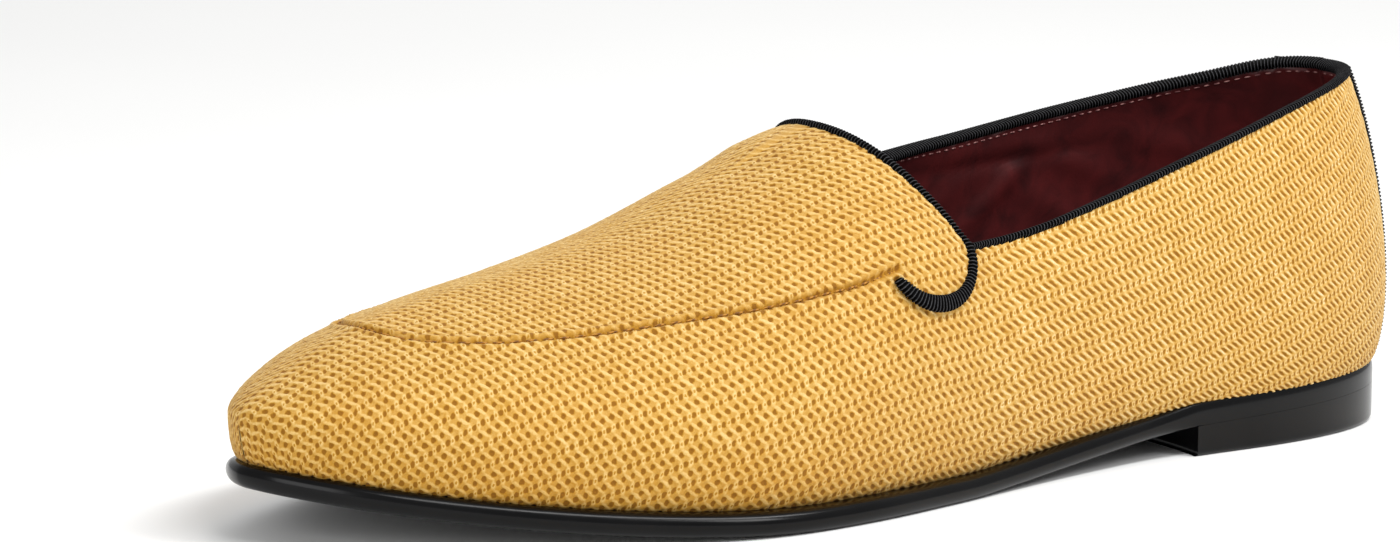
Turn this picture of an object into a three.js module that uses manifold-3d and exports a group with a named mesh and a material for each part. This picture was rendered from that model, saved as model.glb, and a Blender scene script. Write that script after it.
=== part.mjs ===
// Left loafer of the slipper kind: woven upper on a last, thin leather sole, low heel, bound edges.
// Millimetres. +X runs from heel to toe, +Y to the outer (lateral) side, +Z up, floor at Z = 0.
import * as THREE from 'three';
import { mergeVertices } from 'three/addons/utils/BufferGeometryUtils.js';
import Module from 'manifold-3d';

const wasm = await Module();
wasm.setup();

// Driving dimensions
const SOLE_TOE = 296;          // tip of the sole
const SOLE_BACK = -2.5;        // back of the sole and heel
const UPPER_TOE = 295.6;       // tip of the upper at its widest level
const UPPER_BACK = -5;         // back of the counter at its widest level
const SOLE_THICKNESS = 5;
const TOE_SPRING = 12;         // rise of the sole's underside at the tip
const TOE_SPRING_START = 182;
const HEEL_HEIGHT = 6.8;       // underside of the sole above the floor, at the heel's front
const HEEL_RISE = 2.3;         // further rise of the heel seat to the back
const WAIST_START = 142;       // from here back the sole leaves the floor
const WAIST_POWER = 1.3;
const HEEL_BREAST = 70;        // front corner of the heel
const BREAST_HOLLOW = 4;       // depth of the concave breast
const HEEL_INSET = 0.5;        // heel block inside the sole's outline
const HEEL_EDGE_ROUND = 0.8;   // rounded lower corner of the heel block
const WALL = 2;                // fabric, interlining and leather lining together
const SEAT_GAP = 0.3;          // clearance between pieces that meet
const INSOLE_THICKNESS = 2.2;
const BINDING_WIDTH = 2;       // ribbon on the topline and the throat
const BINDING_PROUD = 0.5;     // ribbon beyond each face of the wall
const HOOK_WIDTH = 3.2;        // ribbon round the free corner of the apron
const HOOK_RISE = 1.9;
const LOBE_RISE = 1.1;         // apron corner above the quarter that it overlaps
const STRIP_WIDTH = 26;        // ribbon over the back seam
const STRIP_RISE = 1;

// Plan closures: the outline is a superellipse round the heel and an almond round the toe
const HEEL_ROUND = { start: 54, power: 2.27 };
const TOE_ROUND = { lateral: 188, medial: 204, power: 2, fullness: 0.62 };
const TOE_SWING = { start: 130, shift: -3 };
const RIDGE_SHIFT = { start: 60, length: 100, shift: -2 };
// The ribs of the surface lean from the outline to this share of the length, heel end and toe end
const SPINE_SHARE = { heel: 0.16, toe: 0.8 };
const TUCK_ANGLE = THREE.MathUtils.degToRad(70);

// Rounded edge of the sole: how far it draws in, at shares of the thickness from the tread up
const SOLE_EDGE = [
  { inset: 1.1, level: 0 },
  { inset: 0.3, level: 0.22 },
  { inset: 0, level: 0.5 },
  { inset: 0.3, level: 0.78 },
  { inset: 1.1, level: 1 },
];

// Sections of the last. lateral, medial: half widths of the sole. margin: sole edge beyond the upper.
// belly: widest level of the upper above the sole. tuck: draw-in below it. ridge: top line of the
// upper, which runs on unseen above the collar. crown: fullness of the section above the belly.
const SECTIONS = [
  { x: 0, lateral: 30.5, medial: 30.5, margin: -2.2, belly: 15.8, tuck: 2.6, ridge: 116, crown: 1.75 },
  { x: 45, lateral: 30.5, medial: 30.5, margin: -2, belly: 18.2, tuck: 2.6, ridge: 101, crown: 2.35 },
  { x: 75, lateral: 31.2, medial: 28.8, margin: -1.5, belly: 18.5, tuck: 2.8, ridge: 98, crown: 2.5 },
  { x: 100, lateral: 34.2, medial: 27.6, margin: -0.6, belly: 17.8, tuck: 3.2, ridge: 90, crown: 2.4 },
  { x: 130, lateral: 40, medial: 29.5, margin: 0.4, belly: 17.2, tuck: 3.2, ridge: 71, crown: 2.25 },
  { x: 150, lateral: 45, medial: 34, margin: 1.2, belly: 16, tuck: 3, ridge: 76, crown: 2.15 },
  { x: 175, lateral: 50.4, medial: 41.5, margin: 1.9, belly: 14.5, tuck: 2.8, ridge: 67, crown: 2.1 },
  { x: 200, lateral: 52.6, medial: 47.2, margin: 2, belly: 13, tuck: 2.6, ridge: 56.5, crown: 2.1 },
  { x: 225, lateral: 51, medial: 50, margin: 1.7, belly: 11.5, tuck: 2.4, ridge: 50.5, crown: 2.1 },
  { x: 250, lateral: 49.2, medial: 50, margin: 1.3, belly: 10, tuck: 2.2, ridge: 46.5, crown: 2.2 },
  { x: 275, lateral: 48.6, medial: 50, margin: 0.9, belly: 9, tuck: 2, ridge: 42, crown: 2.3 },
  { x: 296, lateral: 48.6, medial: 50, margin: 0.6, belly: 8.5, tuck: 1.8, ridge: 34, crown: 2.3 },
];

// Height of the topline from the back to the throat, on the outer and the inner quarter
const TOPLINE = [
  { x: -14, lateral: 82, medial: 82 },
  { x: 9, lateral: 80.5, medial: 80.5 },
  { x: 22, lateral: 78.9, medial: 77 },
  { x: 37, lateral: 76.1, medial: 74.2 },
  { x: 70, lateral: 67.3, medial: 69.9 },
  { x: 100, lateral: 59.3, medial: 66.6 },
  { x: 128, lateral: 53.6, medial: 64.4 },
  { x: 150, lateral: 53, medial: 64 },
];
// The throat is a slanting line in side view
const THROAT = { x: 139, z: 53, topX: 160.5, topZ: 90 };
const THROAT_SLOPE = (THROAT.topX - THROAT.x) / (THROAT.topZ - THROAT.z);
// Free corner of the apron: a half disc in side view, hanging from the foot of the throat
const LOBE = { x: 151, z: 53, radius: 12.2, hookEnd: THREE.MathUtils.degToRad(-20) };
// The apron corner thins out into the vamp towards the front, and upwards over this height
const LOBE_FADE = { frontStart: 160, frontEnd: 178, topBegin: 3, topLength: 10 };

// Fineness of the faceted forms
const ALONG_STEPS = 44;
const CROWN_STEPS = 9;
const CROWN_SPACING = 0.8;
const TUCK_STEPS = 3;
const TOPLINE_STEPS = 24;
const ARC_STEPS = 14;
const PRISM_WIDTH = 160;
const PRISM_ROOF = 150;
const CUT_SKIRT = 3;           // how far a hollow reaches below the sole edge of the upper

// Cubic through one column of a table whose rows are in order of x.
function column(rows, name, x) {
  const last = rows.length - 1;
  let i = 0;
  while (i < last - 1 && x > rows[i + 1].x) i += 1;
  const chord = (k) => (rows[k + 1][name] - rows[k][name]) / (rows[k + 1].x - rows[k].x);
  const span = (k) => rows[k + 1].x - rows[k].x;
  const slope = (k) => {
    if (k === 0) return chord(0);
    if (k === last) return chord(last - 1);
    return (chord(k - 1) * span(k) + chord(k) * span(k - 1)) / (span(k - 1) + span(k));
  };
  const h = span(i);
  const t = THREE.MathUtils.clamp((x - rows[i].x) / h, 0, 1);
  const s = 1 - t;
  return s * s * (1 + 2 * t) * rows[i][name] + t * t * (3 - 2 * t) * rows[i + 1][name]
    + s * s * t * h * slope(i) - s * t * t * h * slope(i + 1);
}

const section = (name, x) => column(SECTIONS, name, x);

// Column name of the outer (side 1) or inner (side -1) half.
const sideName = (side) => (side > 0 ? 'lateral' : 'medial');

// Middle line of the last in plan: straight from the heel, then swinging inwards to the toe.
function axisY(x) {
  const u = Math.max(0, (x - TOE_SWING.start) / (SOLE_TOE - TOE_SWING.start));
  return TOE_SWING.shift * u * u;
}

// Underside of the sole: flat under the forefoot, toe spring, and the waist rising to the heel seat,
// which rises a little more to the back.
function soleUnder(x) {
  const spring = Math.max(0, (x - TOE_SPRING_START) / (SOLE_TOE - TOE_SPRING_START));
  const waist = THREE.MathUtils.clamp((WAIST_START - x) / (WAIST_START - HEEL_BREAST), 0, 1);
  const seat = THREE.MathUtils.clamp((HEEL_BREAST - x) / (HEEL_BREAST - SOLE_BACK), 0, 1);
  return TOE_SPRING * spring * spring + HEEL_HEIGHT * waist ** WAIST_POWER + HEEL_RISE * seat;
}

const soleTop = (x) => soleUnder(x) + SOLE_THICKNESS;

// Share of the full half width that is left near the two ends of an outline from back to toe.
function closure(x, side, back, toe) {
  const start = TOE_ROUND[sideName(side)];
  const u = THREE.MathUtils.clamp((HEEL_ROUND.start - x) / (HEEL_ROUND.start - back), 0, 1);
  const v = THREE.MathUtils.clamp((x - start) / (toe - start), 0, 1);
  const heel = (1 - u ** HEEL_ROUND.power) ** (1 / HEEL_ROUND.power);
  return heel * (1 - v ** TOE_ROUND.power) ** TOE_ROUND.fullness;
}

// A rib runs in plan from the spine to the outline. t goes from the back (0) to the toe (1).
function rib(t, side, back, toe, beyond) {
  const x = back + (toe - back) * (1 - Math.cos(Math.PI * t)) / 2;
  const half = section(sideName(side), x) + beyond(x);
  const share = SPINE_SHARE.heel + (SPINE_SHARE.toe - SPINE_SHARE.heel) * (x - back) / (toe - back);
  const spineX = back + (toe - back) * share;
  const ridge = THREE.MathUtils.clamp((spineX - RIDGE_SHIFT.start) / RIDGE_SHIFT.length, 0, 1);
  const spine = new THREE.Vector2(spineX, axisY(spineX) + RIDGE_SHIFT.shift * ridge);
  const edge = new THREE.Vector2(x, axisY(x) + side * half * closure(x, side, back, toe));
  return { spine, edge };
}

const soleRib = (t, side) => rib(t, side, SOLE_BACK, SOLE_TOE, () => 0);

// Rib of the upper, moved outwards by an offset.
function upperRib(t, side, offset) {
  return rib(t, side, UPPER_BACK - offset, UPPER_TOE + offset, (x) => offset - section('margin', x));
}

// Point of the upper above its widest level: q is 1 at the belly and 0 on the ridge.
function crownPoint(t, q, side, offset) {
  const { spine, edge } = upperRib(t, side, offset);
  const p = spine.clone().lerp(edge, q);
  const belly = soleTop(edge.x) + SEAT_GAP + section('belly', edge.x);
  const ridge = section('ridge', p.x) + offset;
  const power = section('crown', p.x);
  return new THREE.Vector3(p.x, p.y, belly + (ridge - belly) * Math.max(0, 1 - q ** power) ** (1 / power));
}

// Point of the upper below the belly: p is 0 at the belly and 1 at the edge on the sole.
function tuckPoint(t, p, side, offset) {
  const { spine, edge } = upperRib(t, side, offset);
  const drawIn = (angle) => section('tuck', edge.x) * (1 - Math.cos(angle)) / (1 - Math.cos(TUCK_ANGLE));
  const inward = (depth) => edge.clone().lerp(spine, depth / edge.distanceTo(spine));
  const foot = inward(drawIn(TUCK_ANGLE));
  const plan = inward(drawIn(p * TUCK_ANGLE));
  const low = soleTop(foot.x) + SEAT_GAP;
  const belly = soleTop(edge.x) + SEAT_GAP + section('belly', edge.x);
  const drop = Math.sin(p * TUCK_ANGLE) / Math.sin(TUCK_ANGLE);
  return new THREE.Vector3(plan.x, plan.y, belly + (low - belly) * drop);
}

// A ring is a function of t and side. Rings are listed from the bottom to the top of a closed form.
function ringSolid(rings) {
  const positions = [];
  const index = [];
  const key = (ring, i, side) => ((ring * (ALONG_STEPS + 1)) + i) * 2 + (side > 0 ? 0 : 1);
  rings.forEach((ring) => {
    for (let i = 0; i <= ALONG_STEPS; i += 1) {
      positions.push(...ring(i / ALONG_STEPS, 1).toArray(), ...ring(i / ALONG_STEPS, -1).toArray());
    }
  });
  const quad = (a, b, c, d) => index.push(a, b, c, a, c, d);
  for (let i = 0; i < ALONG_STEPS; i += 1) {
    quad(key(0, i, 1), key(0, i + 1, 1), key(0, i + 1, -1), key(0, i, -1));
    for (let r = 0; r < rings.length - 1; r += 1) {
      quad(key(r, i, 1), key(r + 1, i, 1), key(r + 1, i + 1, 1), key(r, i + 1, 1));
      quad(key(r, i, -1), key(r, i + 1, -1), key(r + 1, i + 1, -1), key(r + 1, i, -1));
    }
    const top = rings.length - 1;
    quad(key(top, i, 1), key(top, i, -1), key(top, i + 1, -1), key(top, i + 1, 1));
  }
  const geometry = new THREE.BufferGeometry();
  geometry.setAttribute('position', new THREE.Float32BufferAttribute(positions, 3));
  geometry.setIndex(index);
  return solid(geometry);
}

// Closed solid for cutting and joining: shared vertices merged, collapsed triangles dropped.
function solid(geometry) {
  geometry.deleteAttribute('normal');
  geometry.deleteAttribute('uv');
  const merged = mergeVertices(geometry, 1e-4);
  const corners = merged.index.array;
  const kept = [];
  for (let i = 0; i < corners.length; i += 3) {
    const [a, b, c] = [corners[i], corners[i + 1], corners[i + 2]];
    if (a !== b && b !== c && c !== a) kept.push(a, b, c);
  }
  return new wasm.Manifold(new wasm.Mesh({
    numProp: 3,
    vertProperties: new Float32Array(merged.attributes.position.array),
    triVerts: new Uint32Array(kept),
  }));
}

// Prism from an outline of side-view points over the outer half (side 1) or the inner half (side -1).
function sidePrism(points, side) {
  const half = PRISM_WIDTH / 2;
  const shape = new THREE.Shape(points.map((p) => new THREE.Vector2(p.x, p.z)));
  const geometry = new THREE.ExtrudeGeometry(shape, { depth: half, bevelEnabled: false });
  geometry.rotateX(Math.PI / 2).translate(0, side > 0 ? half : 0, 0);
  return solid(geometry);
}

// Prism across the whole width from an outline that is given for each side.
const acrossSides = (outline) => sidePrism(outline(1), 1).add(sidePrism(outline(-1), -1));

// Upright prism from an outline of plan points.
function planPrism(points, low, high) {
  const shape = new THREE.Shape(points.map((p) => new THREE.Vector2(p.x, p.y)));
  const geometry = new THREE.ExtrudeGeometry(shape, { depth: high - low, bevelEnabled: false });
  return solid(geometry.translate(0, 0, low));
}

// Form of the upper filled in, from the sole edge to the ridge. The offset may vary over the surface,
// and a form that hollows out another reaches below it.
function filledUpper(offsetAt, hollow = false) {
  const rings = [];
  const settled = (point) => point(offsetAt(point(0)));
  if (hollow) {
    const below = new THREE.Vector3(0, 0, -CUT_SKIRT);
    rings.push((t, side) => settled((o) => tuckPoint(t, 1, side, o)).add(below));
  }
  for (let i = TUCK_STEPS; i > 0; i -= 1) {
    rings.push((t, side) => settled((o) => tuckPoint(t, i / TUCK_STEPS, side, o)));
  }
  for (let i = 0; i <= CROWN_STEPS; i += 1) {
    const q = Math.cos((i / CROWN_STEPS) * Math.PI / 2) ** CROWN_SPACING;
    rings.push((t, side) => settled((o) => crownPoint(t, i === CROWN_STEPS ? 0 : q, side, o)));
  }
  return ringSolid(rings);
}

const steady = (offset) => () => offset;

// Point of the throat line at a height, in side view.
const throatAt = (z) => ({ x: THROAT.x + (z - THROAT.z) * THROAT_SLOPE, z });

// Where the topline of a quarter meets the throat.
const cornerOf = (side) => throatAt(TOPLINE[TOPLINE.length - 1][sideName(side)]);

// Side view of the opening above the topline and behind the throat, grown by a margin.
function openingOutline(side, margin) {
  const edge = [];
  const first = TOPLINE[0].x;
  const corner = cornerOf(side);
  for (let i = 0; i <= TOPLINE_STEPS; i += 1) {
    const x = first + (corner.x - first) * i / TOPLINE_STEPS;
    edge.push(new THREE.Vector2(x, column(TOPLINE, sideName(side), x)));
  }
  edge.push(new THREE.Vector2(THROAT.topX, THROAT.topZ));
  const normal = (a, b) => new THREE.Vector2(b.y - a.y, a.x - b.x).normalize();
  const grown = edge.map((p, i) => {
    const before = i > 0 ? normal(edge[i - 1], p) : null;
    const after = i < edge.length - 1 ? normal(p, edge[i + 1]) : null;
    if (!before || !after) return p.clone().addScaledVector(before ?? after, margin);
    const mitre = before.clone().add(after);
    return p.clone().addScaledVector(mitre, 2 * margin / mitre.lengthSq());
  });
  return [
    ...grown.map((p) => ({ x: p.x, z: p.y })),
    { x: THROAT.topX + margin, z: PRISM_ROOF },
    { x: first - margin, z: PRISM_ROOF },
  ];
}

const opening = (margin) => acrossSides((side) => openingOutline(side, margin));

// Edge of the apron's free corner in side view: down the throat line, then round to the hook's end.
function lobeEdge(side, radius) {
  const high = cornerOf(side).z;
  const inset = LOBE.radius - radius;
  const edge = [];
  if (high > LOBE.z) edge.push({ x: throatAt(high).x + inset, z: high });
  for (let i = 0; i <= ARC_STEPS; i += 1) {
    const a = Math.PI + (LOBE.hookEnd + Math.PI) * i / ARC_STEPS;
    edge.push({ x: LOBE.x + radius * Math.cos(a), z: LOBE.z + radius * Math.sin(a) });
  }
  return edge;
}

function geometryOf(manifold) {
  const { numProp, vertProperties, triVerts } = manifold.getMesh();
  const positions = [];
  for (let i = 0; i < vertProperties.length; i += numProp) {
    positions.push(vertProperties[i], vertProperties[i + 1], vertProperties[i + 2]);
  }
  const geometry = new THREE.BufferGeometry();
  geometry.setAttribute('position', new THREE.Float32BufferAttribute(positions, 3));
  geometry.setIndex(Array.from(triVerts));
  geometry.computeVertexNormals();
  return geometry;
}

// Outsole: rounded edge, flat tread under the forefoot, lifted waist and toe.
function makeOutsole() {
  const ring = (inset, level) => (t, side) => {
    const { spine, edge } = soleRib(t, side);
    const p = edge.clone().lerp(spine, inset / edge.distanceTo(spine));
    return new THREE.Vector3(p.x, p.y, soleUnder(p.x) + level * SOLE_THICKNESS);
  };
  return ringSolid(SOLE_EDGE.map(({ inset, level }) => ring(inset, level)));
}

// Heel block under the seat of the sole, with a hollow breast.
function makeHeel() {
  const ring = (inset, heightAt) => (t, side) => {
    const { spine, edge } = soleRib(t, side);
    const p = edge.clone().lerp(spine, inset / edge.distanceTo(spine));
    return new THREE.Vector3(p.x, p.y, heightAt(p.x));
  };
  const block = ringSolid([
    ring(HEEL_INSET + HEEL_EDGE_ROUND, () => 0),
    ring(HEEL_INSET, () => HEEL_EDGE_ROUND),
    ring(HEEL_INSET, (x) => Math.max(HEEL_HEIGHT, soleUnder(x)) - SEAT_GAP),
  ]);
  const half = section('lateral', HEEL_BREAST);
  const breast = [];
  for (let i = 0; i <= ARC_STEPS; i += 1) {
    const y = half * (2 * i / ARC_STEPS - 1);
    breast.push({ x: HEEL_BREAST - BREAST_HOLLOW * (1 - (y / half) ** 2), y });
  }
  const reach = PRISM_WIDTH / 2;
  const behind = [
    { x: SOLE_BACK - reach, y: -reach },
    { x: HEEL_BREAST, y: -reach },
    ...breast,
    { x: HEEL_BREAST, y: reach },
    { x: SOLE_BACK - reach, y: reach },
  ];
  return block.intersect(planPrism(behind, -SOLE_THICKNESS, HEEL_HEIGHT + HEEL_RISE));
}

// Insole: lies on the sole inside the lower edge of the upper.
function makeInsole() {
  const inside = -WALL - SEAT_GAP;
  const ring = (lift) => (t, side) => {
    const p = tuckPoint(t, 1, side, inside);
    return p.setZ(soleTop(p.x) + SEAT_GAP + lift);
  };
  return ringSolid([ring(0), ring(INSOLE_THICKNESS)]);
}

// Rise of the apron's free corner, fading out towards the front and upwards.
function lobeRise(point) {
  const low = cornerOf(point.y).z + LOBE_FADE.topBegin;
  const front = THREE.MathUtils.smoothstep(point.x, LOBE_FADE.frontStart, LOBE_FADE.frontEnd);
  const top = THREE.MathUtils.smoothstep(point.z, low, low + LOBE_FADE.topLength);
  const sunk = -SEAT_GAP;
  return LOBE_RISE + (sunk - LOBE_RISE) * Math.max(front, top);
}

// Side view of the apron's corner inside its ribbon, open upwards and forwards.
function lobeOutline(side) {
  const edge = lobeEdge(side, LOBE.radius - HOOK_WIDTH / 2 - SEAT_GAP);
  const high = throatAt(cornerOf(side).z + LOBE_FADE.topBegin + LOBE_FADE.topLength);
  return [
    { x: edge[0].x + high.x - cornerOf(side).x, z: high.z },
    ...edge,
    { x: LOBE_FADE.frontEnd, z: edge[edge.length - 1].z },
    { x: LOBE_FADE.frontEnd, z: high.z },
  ];
}

// Upper: hollow wall from the sole edge to the topline, open at the collar and underneath.
function makeUpper() {
  const lobes = filledUpper(lobeRise).intersect(acrossSides(lobeOutline));
  return filledUpper(steady(0)).add(lobes)
    .subtract(filledUpper(steady(-WALL), true))
    .subtract(opening(BINDING_WIDTH + SEAT_GAP));
}

// Rim of the opening, as wide as the ribbon and a little thicker than the wall.
function makeRim() {
  return filledUpper(steady(BINDING_PROUD))
    .subtract(filledUpper(steady(-WALL - BINDING_PROUD), true))
    .intersect(opening(BINDING_WIDTH))
    .subtract(opening(0));
}

// Slab of the whole height between two stations, which may differ between the sides.
function slab(fromX, toX) {
  return acrossSides((side) => [
    { x: fromX(side), z: -SOLE_THICKNESS },
    { x: toX(side), z: -SOLE_THICKNESS },
    { x: toX(side), z: PRISM_ROOF },
    { x: fromX(side), z: PRISM_ROOF },
  ]);
}

// Station where the ribbon of the throat takes over from the ribbon of the topline.
const ribbonSplit = (side) => cornerOf(side).x - (side > 0 ? HOOK_WIDTH / 2 : HOOK_WIDTH);

// Ribbon on the topline of the quarters, round the back.
function makeCollarBinding() {
  const behind = UPPER_BACK - PRISM_WIDTH / 2;
  return makeRim().intersect(slab(() => behind, (side) => ribbonSplit(side) - SEAT_GAP));
}

// Ribbon on the throat, which runs on round each free corner and hooks forwards.
function makeThroatBinding() {
  const throat = makeRim().intersect(slab(ribbonSplit, () => THROAT.topX));
  const band = acrossSides((side) => [
    ...lobeEdge(side, LOBE.radius + HOOK_WIDTH / 2),
    ...lobeEdge(side, LOBE.radius - HOOK_WIDTH / 2).reverse(),
  ]);
  const ribbon = filledUpper(steady(HOOK_RISE)).subtract(filledUpper(steady(SEAT_GAP), true));
  return throat.add(ribbon.intersect(band));
}

// Ribbon over the back seam, from the topline ribbon down to the sole.
function makeBackStrip() {
  const half = STRIP_WIDTH / 2;
  const behind = UPPER_BACK - PRISM_WIDTH / 2;
  const band = planPrism([
    { x: behind, y: -half },
    { x: HEEL_ROUND.start / 2, y: -half },
    { x: HEEL_ROUND.start / 2, y: half },
    { x: behind, y: half },
  ], 0, PRISM_ROOF);
  return filledUpper(steady(STRIP_RISE))
    .subtract(filledUpper(steady(SEAT_GAP), true))
    .intersect(band)
    .subtract(opening(BINDING_WIDTH + SEAT_GAP));
}

const material = (color, roughness) => new THREE.MeshStandardMaterial({ color, roughness, metalness: 0 });
const mustardWeave = material('#d9a54a', 0.85);
const blackRibbon = material('#17161a', 0.6);
const blackLeather = material('#121215', 0.3);
const burgundyLeather = material('#4c1722', 0.5);

const loafer = new THREE.Group();
const pieces = [
  ['outsole', makeOutsole(), blackLeather],
  ['heel', makeHeel(), blackLeather],
  ['insole', makeInsole(), burgundyLeather],
  ['upper', makeUpper(), mustardWeave],
  ['collar_binding', makeCollarBinding(), blackRibbon],
  ['throat_binding', makeThroatBinding(), blackRibbon],
  ['back_strip', makeBackStrip(), blackRibbon],
];
for (const [name, form, finish] of pieces) {
  const mesh = new THREE.Mesh(geometryOf(form), finish);
  mesh.name = name;
  loafer.add(mesh);
}

// Origin under the middle of the shoe, on the floor.
const box = new THREE.Box3().setFromObject(loafer);
const middle = box.getCenter(new THREE.Vector3());
loafer.position.set(-middle.x, -middle.y, -box.min.z);

export default loafer;
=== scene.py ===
"""Left slipper loafer in open mustard weave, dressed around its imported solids.

The woven upper, its ribbons, lining, insole, sole and heel are fine meshes on the same last that shaped
the solids. Lengths are millimetres in the last's own frame (X heel to toe, Y to the outer side, Z up)
until Last.place turns them into metres in the part's frame.
"""

import logging
import math
from dataclasses import dataclass, field
from enum import Enum
from typing import Callable, Sequence

import bmesh
import bpy
import numpy as np
from mathutils import Matrix, Vector


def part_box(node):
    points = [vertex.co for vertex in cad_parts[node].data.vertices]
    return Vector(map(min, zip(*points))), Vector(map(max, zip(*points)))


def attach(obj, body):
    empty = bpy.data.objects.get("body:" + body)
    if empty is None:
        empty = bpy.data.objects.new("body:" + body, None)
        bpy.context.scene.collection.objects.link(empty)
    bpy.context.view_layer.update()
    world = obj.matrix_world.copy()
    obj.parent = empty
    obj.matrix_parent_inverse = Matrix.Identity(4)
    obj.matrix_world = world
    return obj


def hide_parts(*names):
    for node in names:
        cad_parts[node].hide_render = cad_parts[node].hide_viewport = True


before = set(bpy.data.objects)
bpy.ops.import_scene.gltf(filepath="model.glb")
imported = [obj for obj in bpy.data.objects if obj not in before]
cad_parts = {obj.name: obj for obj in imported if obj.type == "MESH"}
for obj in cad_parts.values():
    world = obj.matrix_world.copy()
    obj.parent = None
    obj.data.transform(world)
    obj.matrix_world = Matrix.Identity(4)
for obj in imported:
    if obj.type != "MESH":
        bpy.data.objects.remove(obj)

LOG = logging.getLogger("loafer")
MM = 0.001
BODY = "root"
UV_MAP = "OFBake"
SEED = 27
CURVE_STEPS = 400
TINY = 1e-9
MERGE_M = 1e-7
SLIVER_M = 2e-6

Span = tuple[float, float]
Triple = tuple[float, float, float]
Stops = tuple[tuple[float, str], ...]
EdgePath = tuple[np.ndarray, np.ndarray, np.ndarray]
Sockets = dict[str, bpy.types.NodeSocket]


class Side(Enum):
    """The two halves of a left shoe."""

    LATERAL = 1
    MEDIAL = -1

    @property
    def column(self) -> str:
        """Name of this half's column in the tables of the last."""
        return self.name.lower()


class Slot(Enum):
    """Material slots of the record."""

    WEAVE = "woven_fabric"
    RIBBON = "black_ribbon"
    SOLE = "sole_leather"
    LINING = "lining_leather"


class Facing(Enum):
    """Which way the faces of a new sheet are turned."""

    LAID = "as the grid lies"
    TURNED = "turned round"
    OUTWARD = "outwards, on a closed form"


@dataclass(frozen=True)
class Section:
    """One section of the last: half widths, sole margin, belly, draw-in, top line and fullness."""

    x: float
    lateral: float
    medial: float
    margin: float
    belly: float
    tuck: float
    ridge: float
    crown: float


@dataclass(frozen=True)
class Topline:
    """Height of the topline of both quarters at a station."""

    x: float
    lateral: float
    medial: float


@dataclass(frozen=True)
class SeamPoint:
    """A point of the apron seam on the outer half, in plan."""

    x: float
    y: float


@dataclass(frozen=True)
class HookWidth:
    """Half width of the hook's ribbon and its reach past the apron's edge, at a run from the tip."""

    x: float
    half: float
    beyond: float


@dataclass(frozen=True)
class Fold:
    """A soft fold of the lining: its middle, its slope, its half sizes and its rise into the shoe."""

    x: float
    z: float
    slope: float
    reach: float
    half: float
    height: float


SECTIONS = (
    Section(0, 30.5, 30.5, -2.2, 15.8, 2.6, 116, 1.75),
    Section(45, 30.5, 30.5, -2, 18.2, 2.6, 101, 2.35),
    Section(75, 31.2, 28.8, -1.5, 18.5, 2.8, 98, 2.5),
    Section(100, 34.2, 27.6, -0.6, 17.8, 3.2, 90, 2.4),
    Section(130, 40, 29.5, 0.4, 17.2, 3.2, 71, 2.25),
    Section(150, 45, 34, 1.2, 16, 3, 76, 2.15),
    Section(175, 50.4, 41.5, 1.9, 14.5, 2.8, 67, 2.1),
    Section(200, 52.6, 47.2, 2, 13, 2.6, 56.5, 2.1),
    Section(225, 51, 50, 1.7, 11.5, 2.4, 50.5, 2.1),
    Section(250, 49.2, 50, 1.3, 10, 2.2, 46.5, 2.2),
    Section(275, 48.6, 50, 0.9, 9, 2, 42, 2.3),
    Section(296, 48.6, 50, 0.6, 8.5, 1.8, 34, 2.3),
)

TOPLINES = (
    Topline(-14, 82, 82),
    Topline(9, 80.5, 80.5),
    Topline(22, 78.9, 77),
    Topline(37, 76.1, 74.2),
    Topline(70, 67.3, 69.9),
    Topline(100, 59.3, 66.6),
    Topline(128, 53.6, 64.4),
    Topline(150, 53, 64),
)

SEAM = (
    SeamPoint(161, 38.9),
    SeamPoint(167, 39.5),
    SeamPoint(175, 39.8),
    SeamPoint(187, 39.1),
    SeamPoint(198, 36.9),
    SeamPoint(208, 33.7),
    SeamPoint(219, 30.4),
    SeamPoint(229, 27.4),
    SeamPoint(239, 24),
    SeamPoint(248.6, 20.2),
    SeamPoint(257, 14.8),
    SeamPoint(262.5, 10.2),
    SeamPoint(266, 3.6),
)

HOOK = (
    HookWidth(0, 0.7, 1.7),
    HookWidth(1, 1.2, 1.85),
    HookWidth(3, 1.45, 1.6),
    HookWidth(7, 1.65, 0.9),
    HookWidth(12, 1.75, 0.25),
    HookWidth(17, 1.65, 0),
    HookWidth(22, 1.4, 0),
    HookWidth(28, 1.1, 0),
    HookWidth(36, 0.95, 0),
)

FOLDS = (
    Fold(81, 52, -0.71, 11, 2.8, 0.7),
    Fold(78, 59.6, -0.03, 26, 1.6, -0.6),
    Fold(84, 62.6, -0.06, 20, 1.9, 0.3),
    Fold(56, 57, 0.35, 14, 2.6, 0.5),
    Fold(30, 60, 0.2, 14, 3.2, 0.5),
    Fold(108, 47, -0.5, 14, 2.8, 0.5),
    Fold(60, 46, 0.5, 22, 3.4, 0.5),
)


def through(rows: Sequence, name: str, x: np.ndarray | float) -> np.ndarray:
    """Smooth curve through one column of a table.

    Args:
        rows: Table rows in order of their x.
        name: Column to read.
        x: Stations at which the value is wanted.

    Returns:
        The values at the stations, held at the ends of the table.
    """
    stations = np.array([row.x for row in rows], float)
    values = np.array([getattr(row, name) for row in rows], float)
    spans = np.diff(stations)
    chords = np.diff(values) / spans
    inner = (chords[:-1] * spans[1:] + chords[1:] * spans[:-1]) / (spans[:-1] + spans[1:])
    slopes = np.concatenate((chords[:1], inner, chords[-1:]))
    x = np.asarray(x, float)
    i = np.clip(np.searchsorted(stations, x, side="left") - 1, 0, len(rows) - 2)
    h = spans[i]
    t = np.clip((x - stations[i]) / h, 0, 1)
    s = 1 - t
    ends = s * s * (1 + 2 * t) * values[i] + t * t * (3 - 2 * t) * values[i + 1]
    return ends + s * s * t * h * slopes[i] - s * t * t * h * slopes[i + 1]


def smoothstep(low: float, high: float, x: np.ndarray | float) -> np.ndarray:
    """Ease from 0 at low to 1 at high."""
    u = np.clip((np.asarray(x, float) - low) / (high - low), 0, 1)
    return u * u * (3 - 2 * u)


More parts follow.
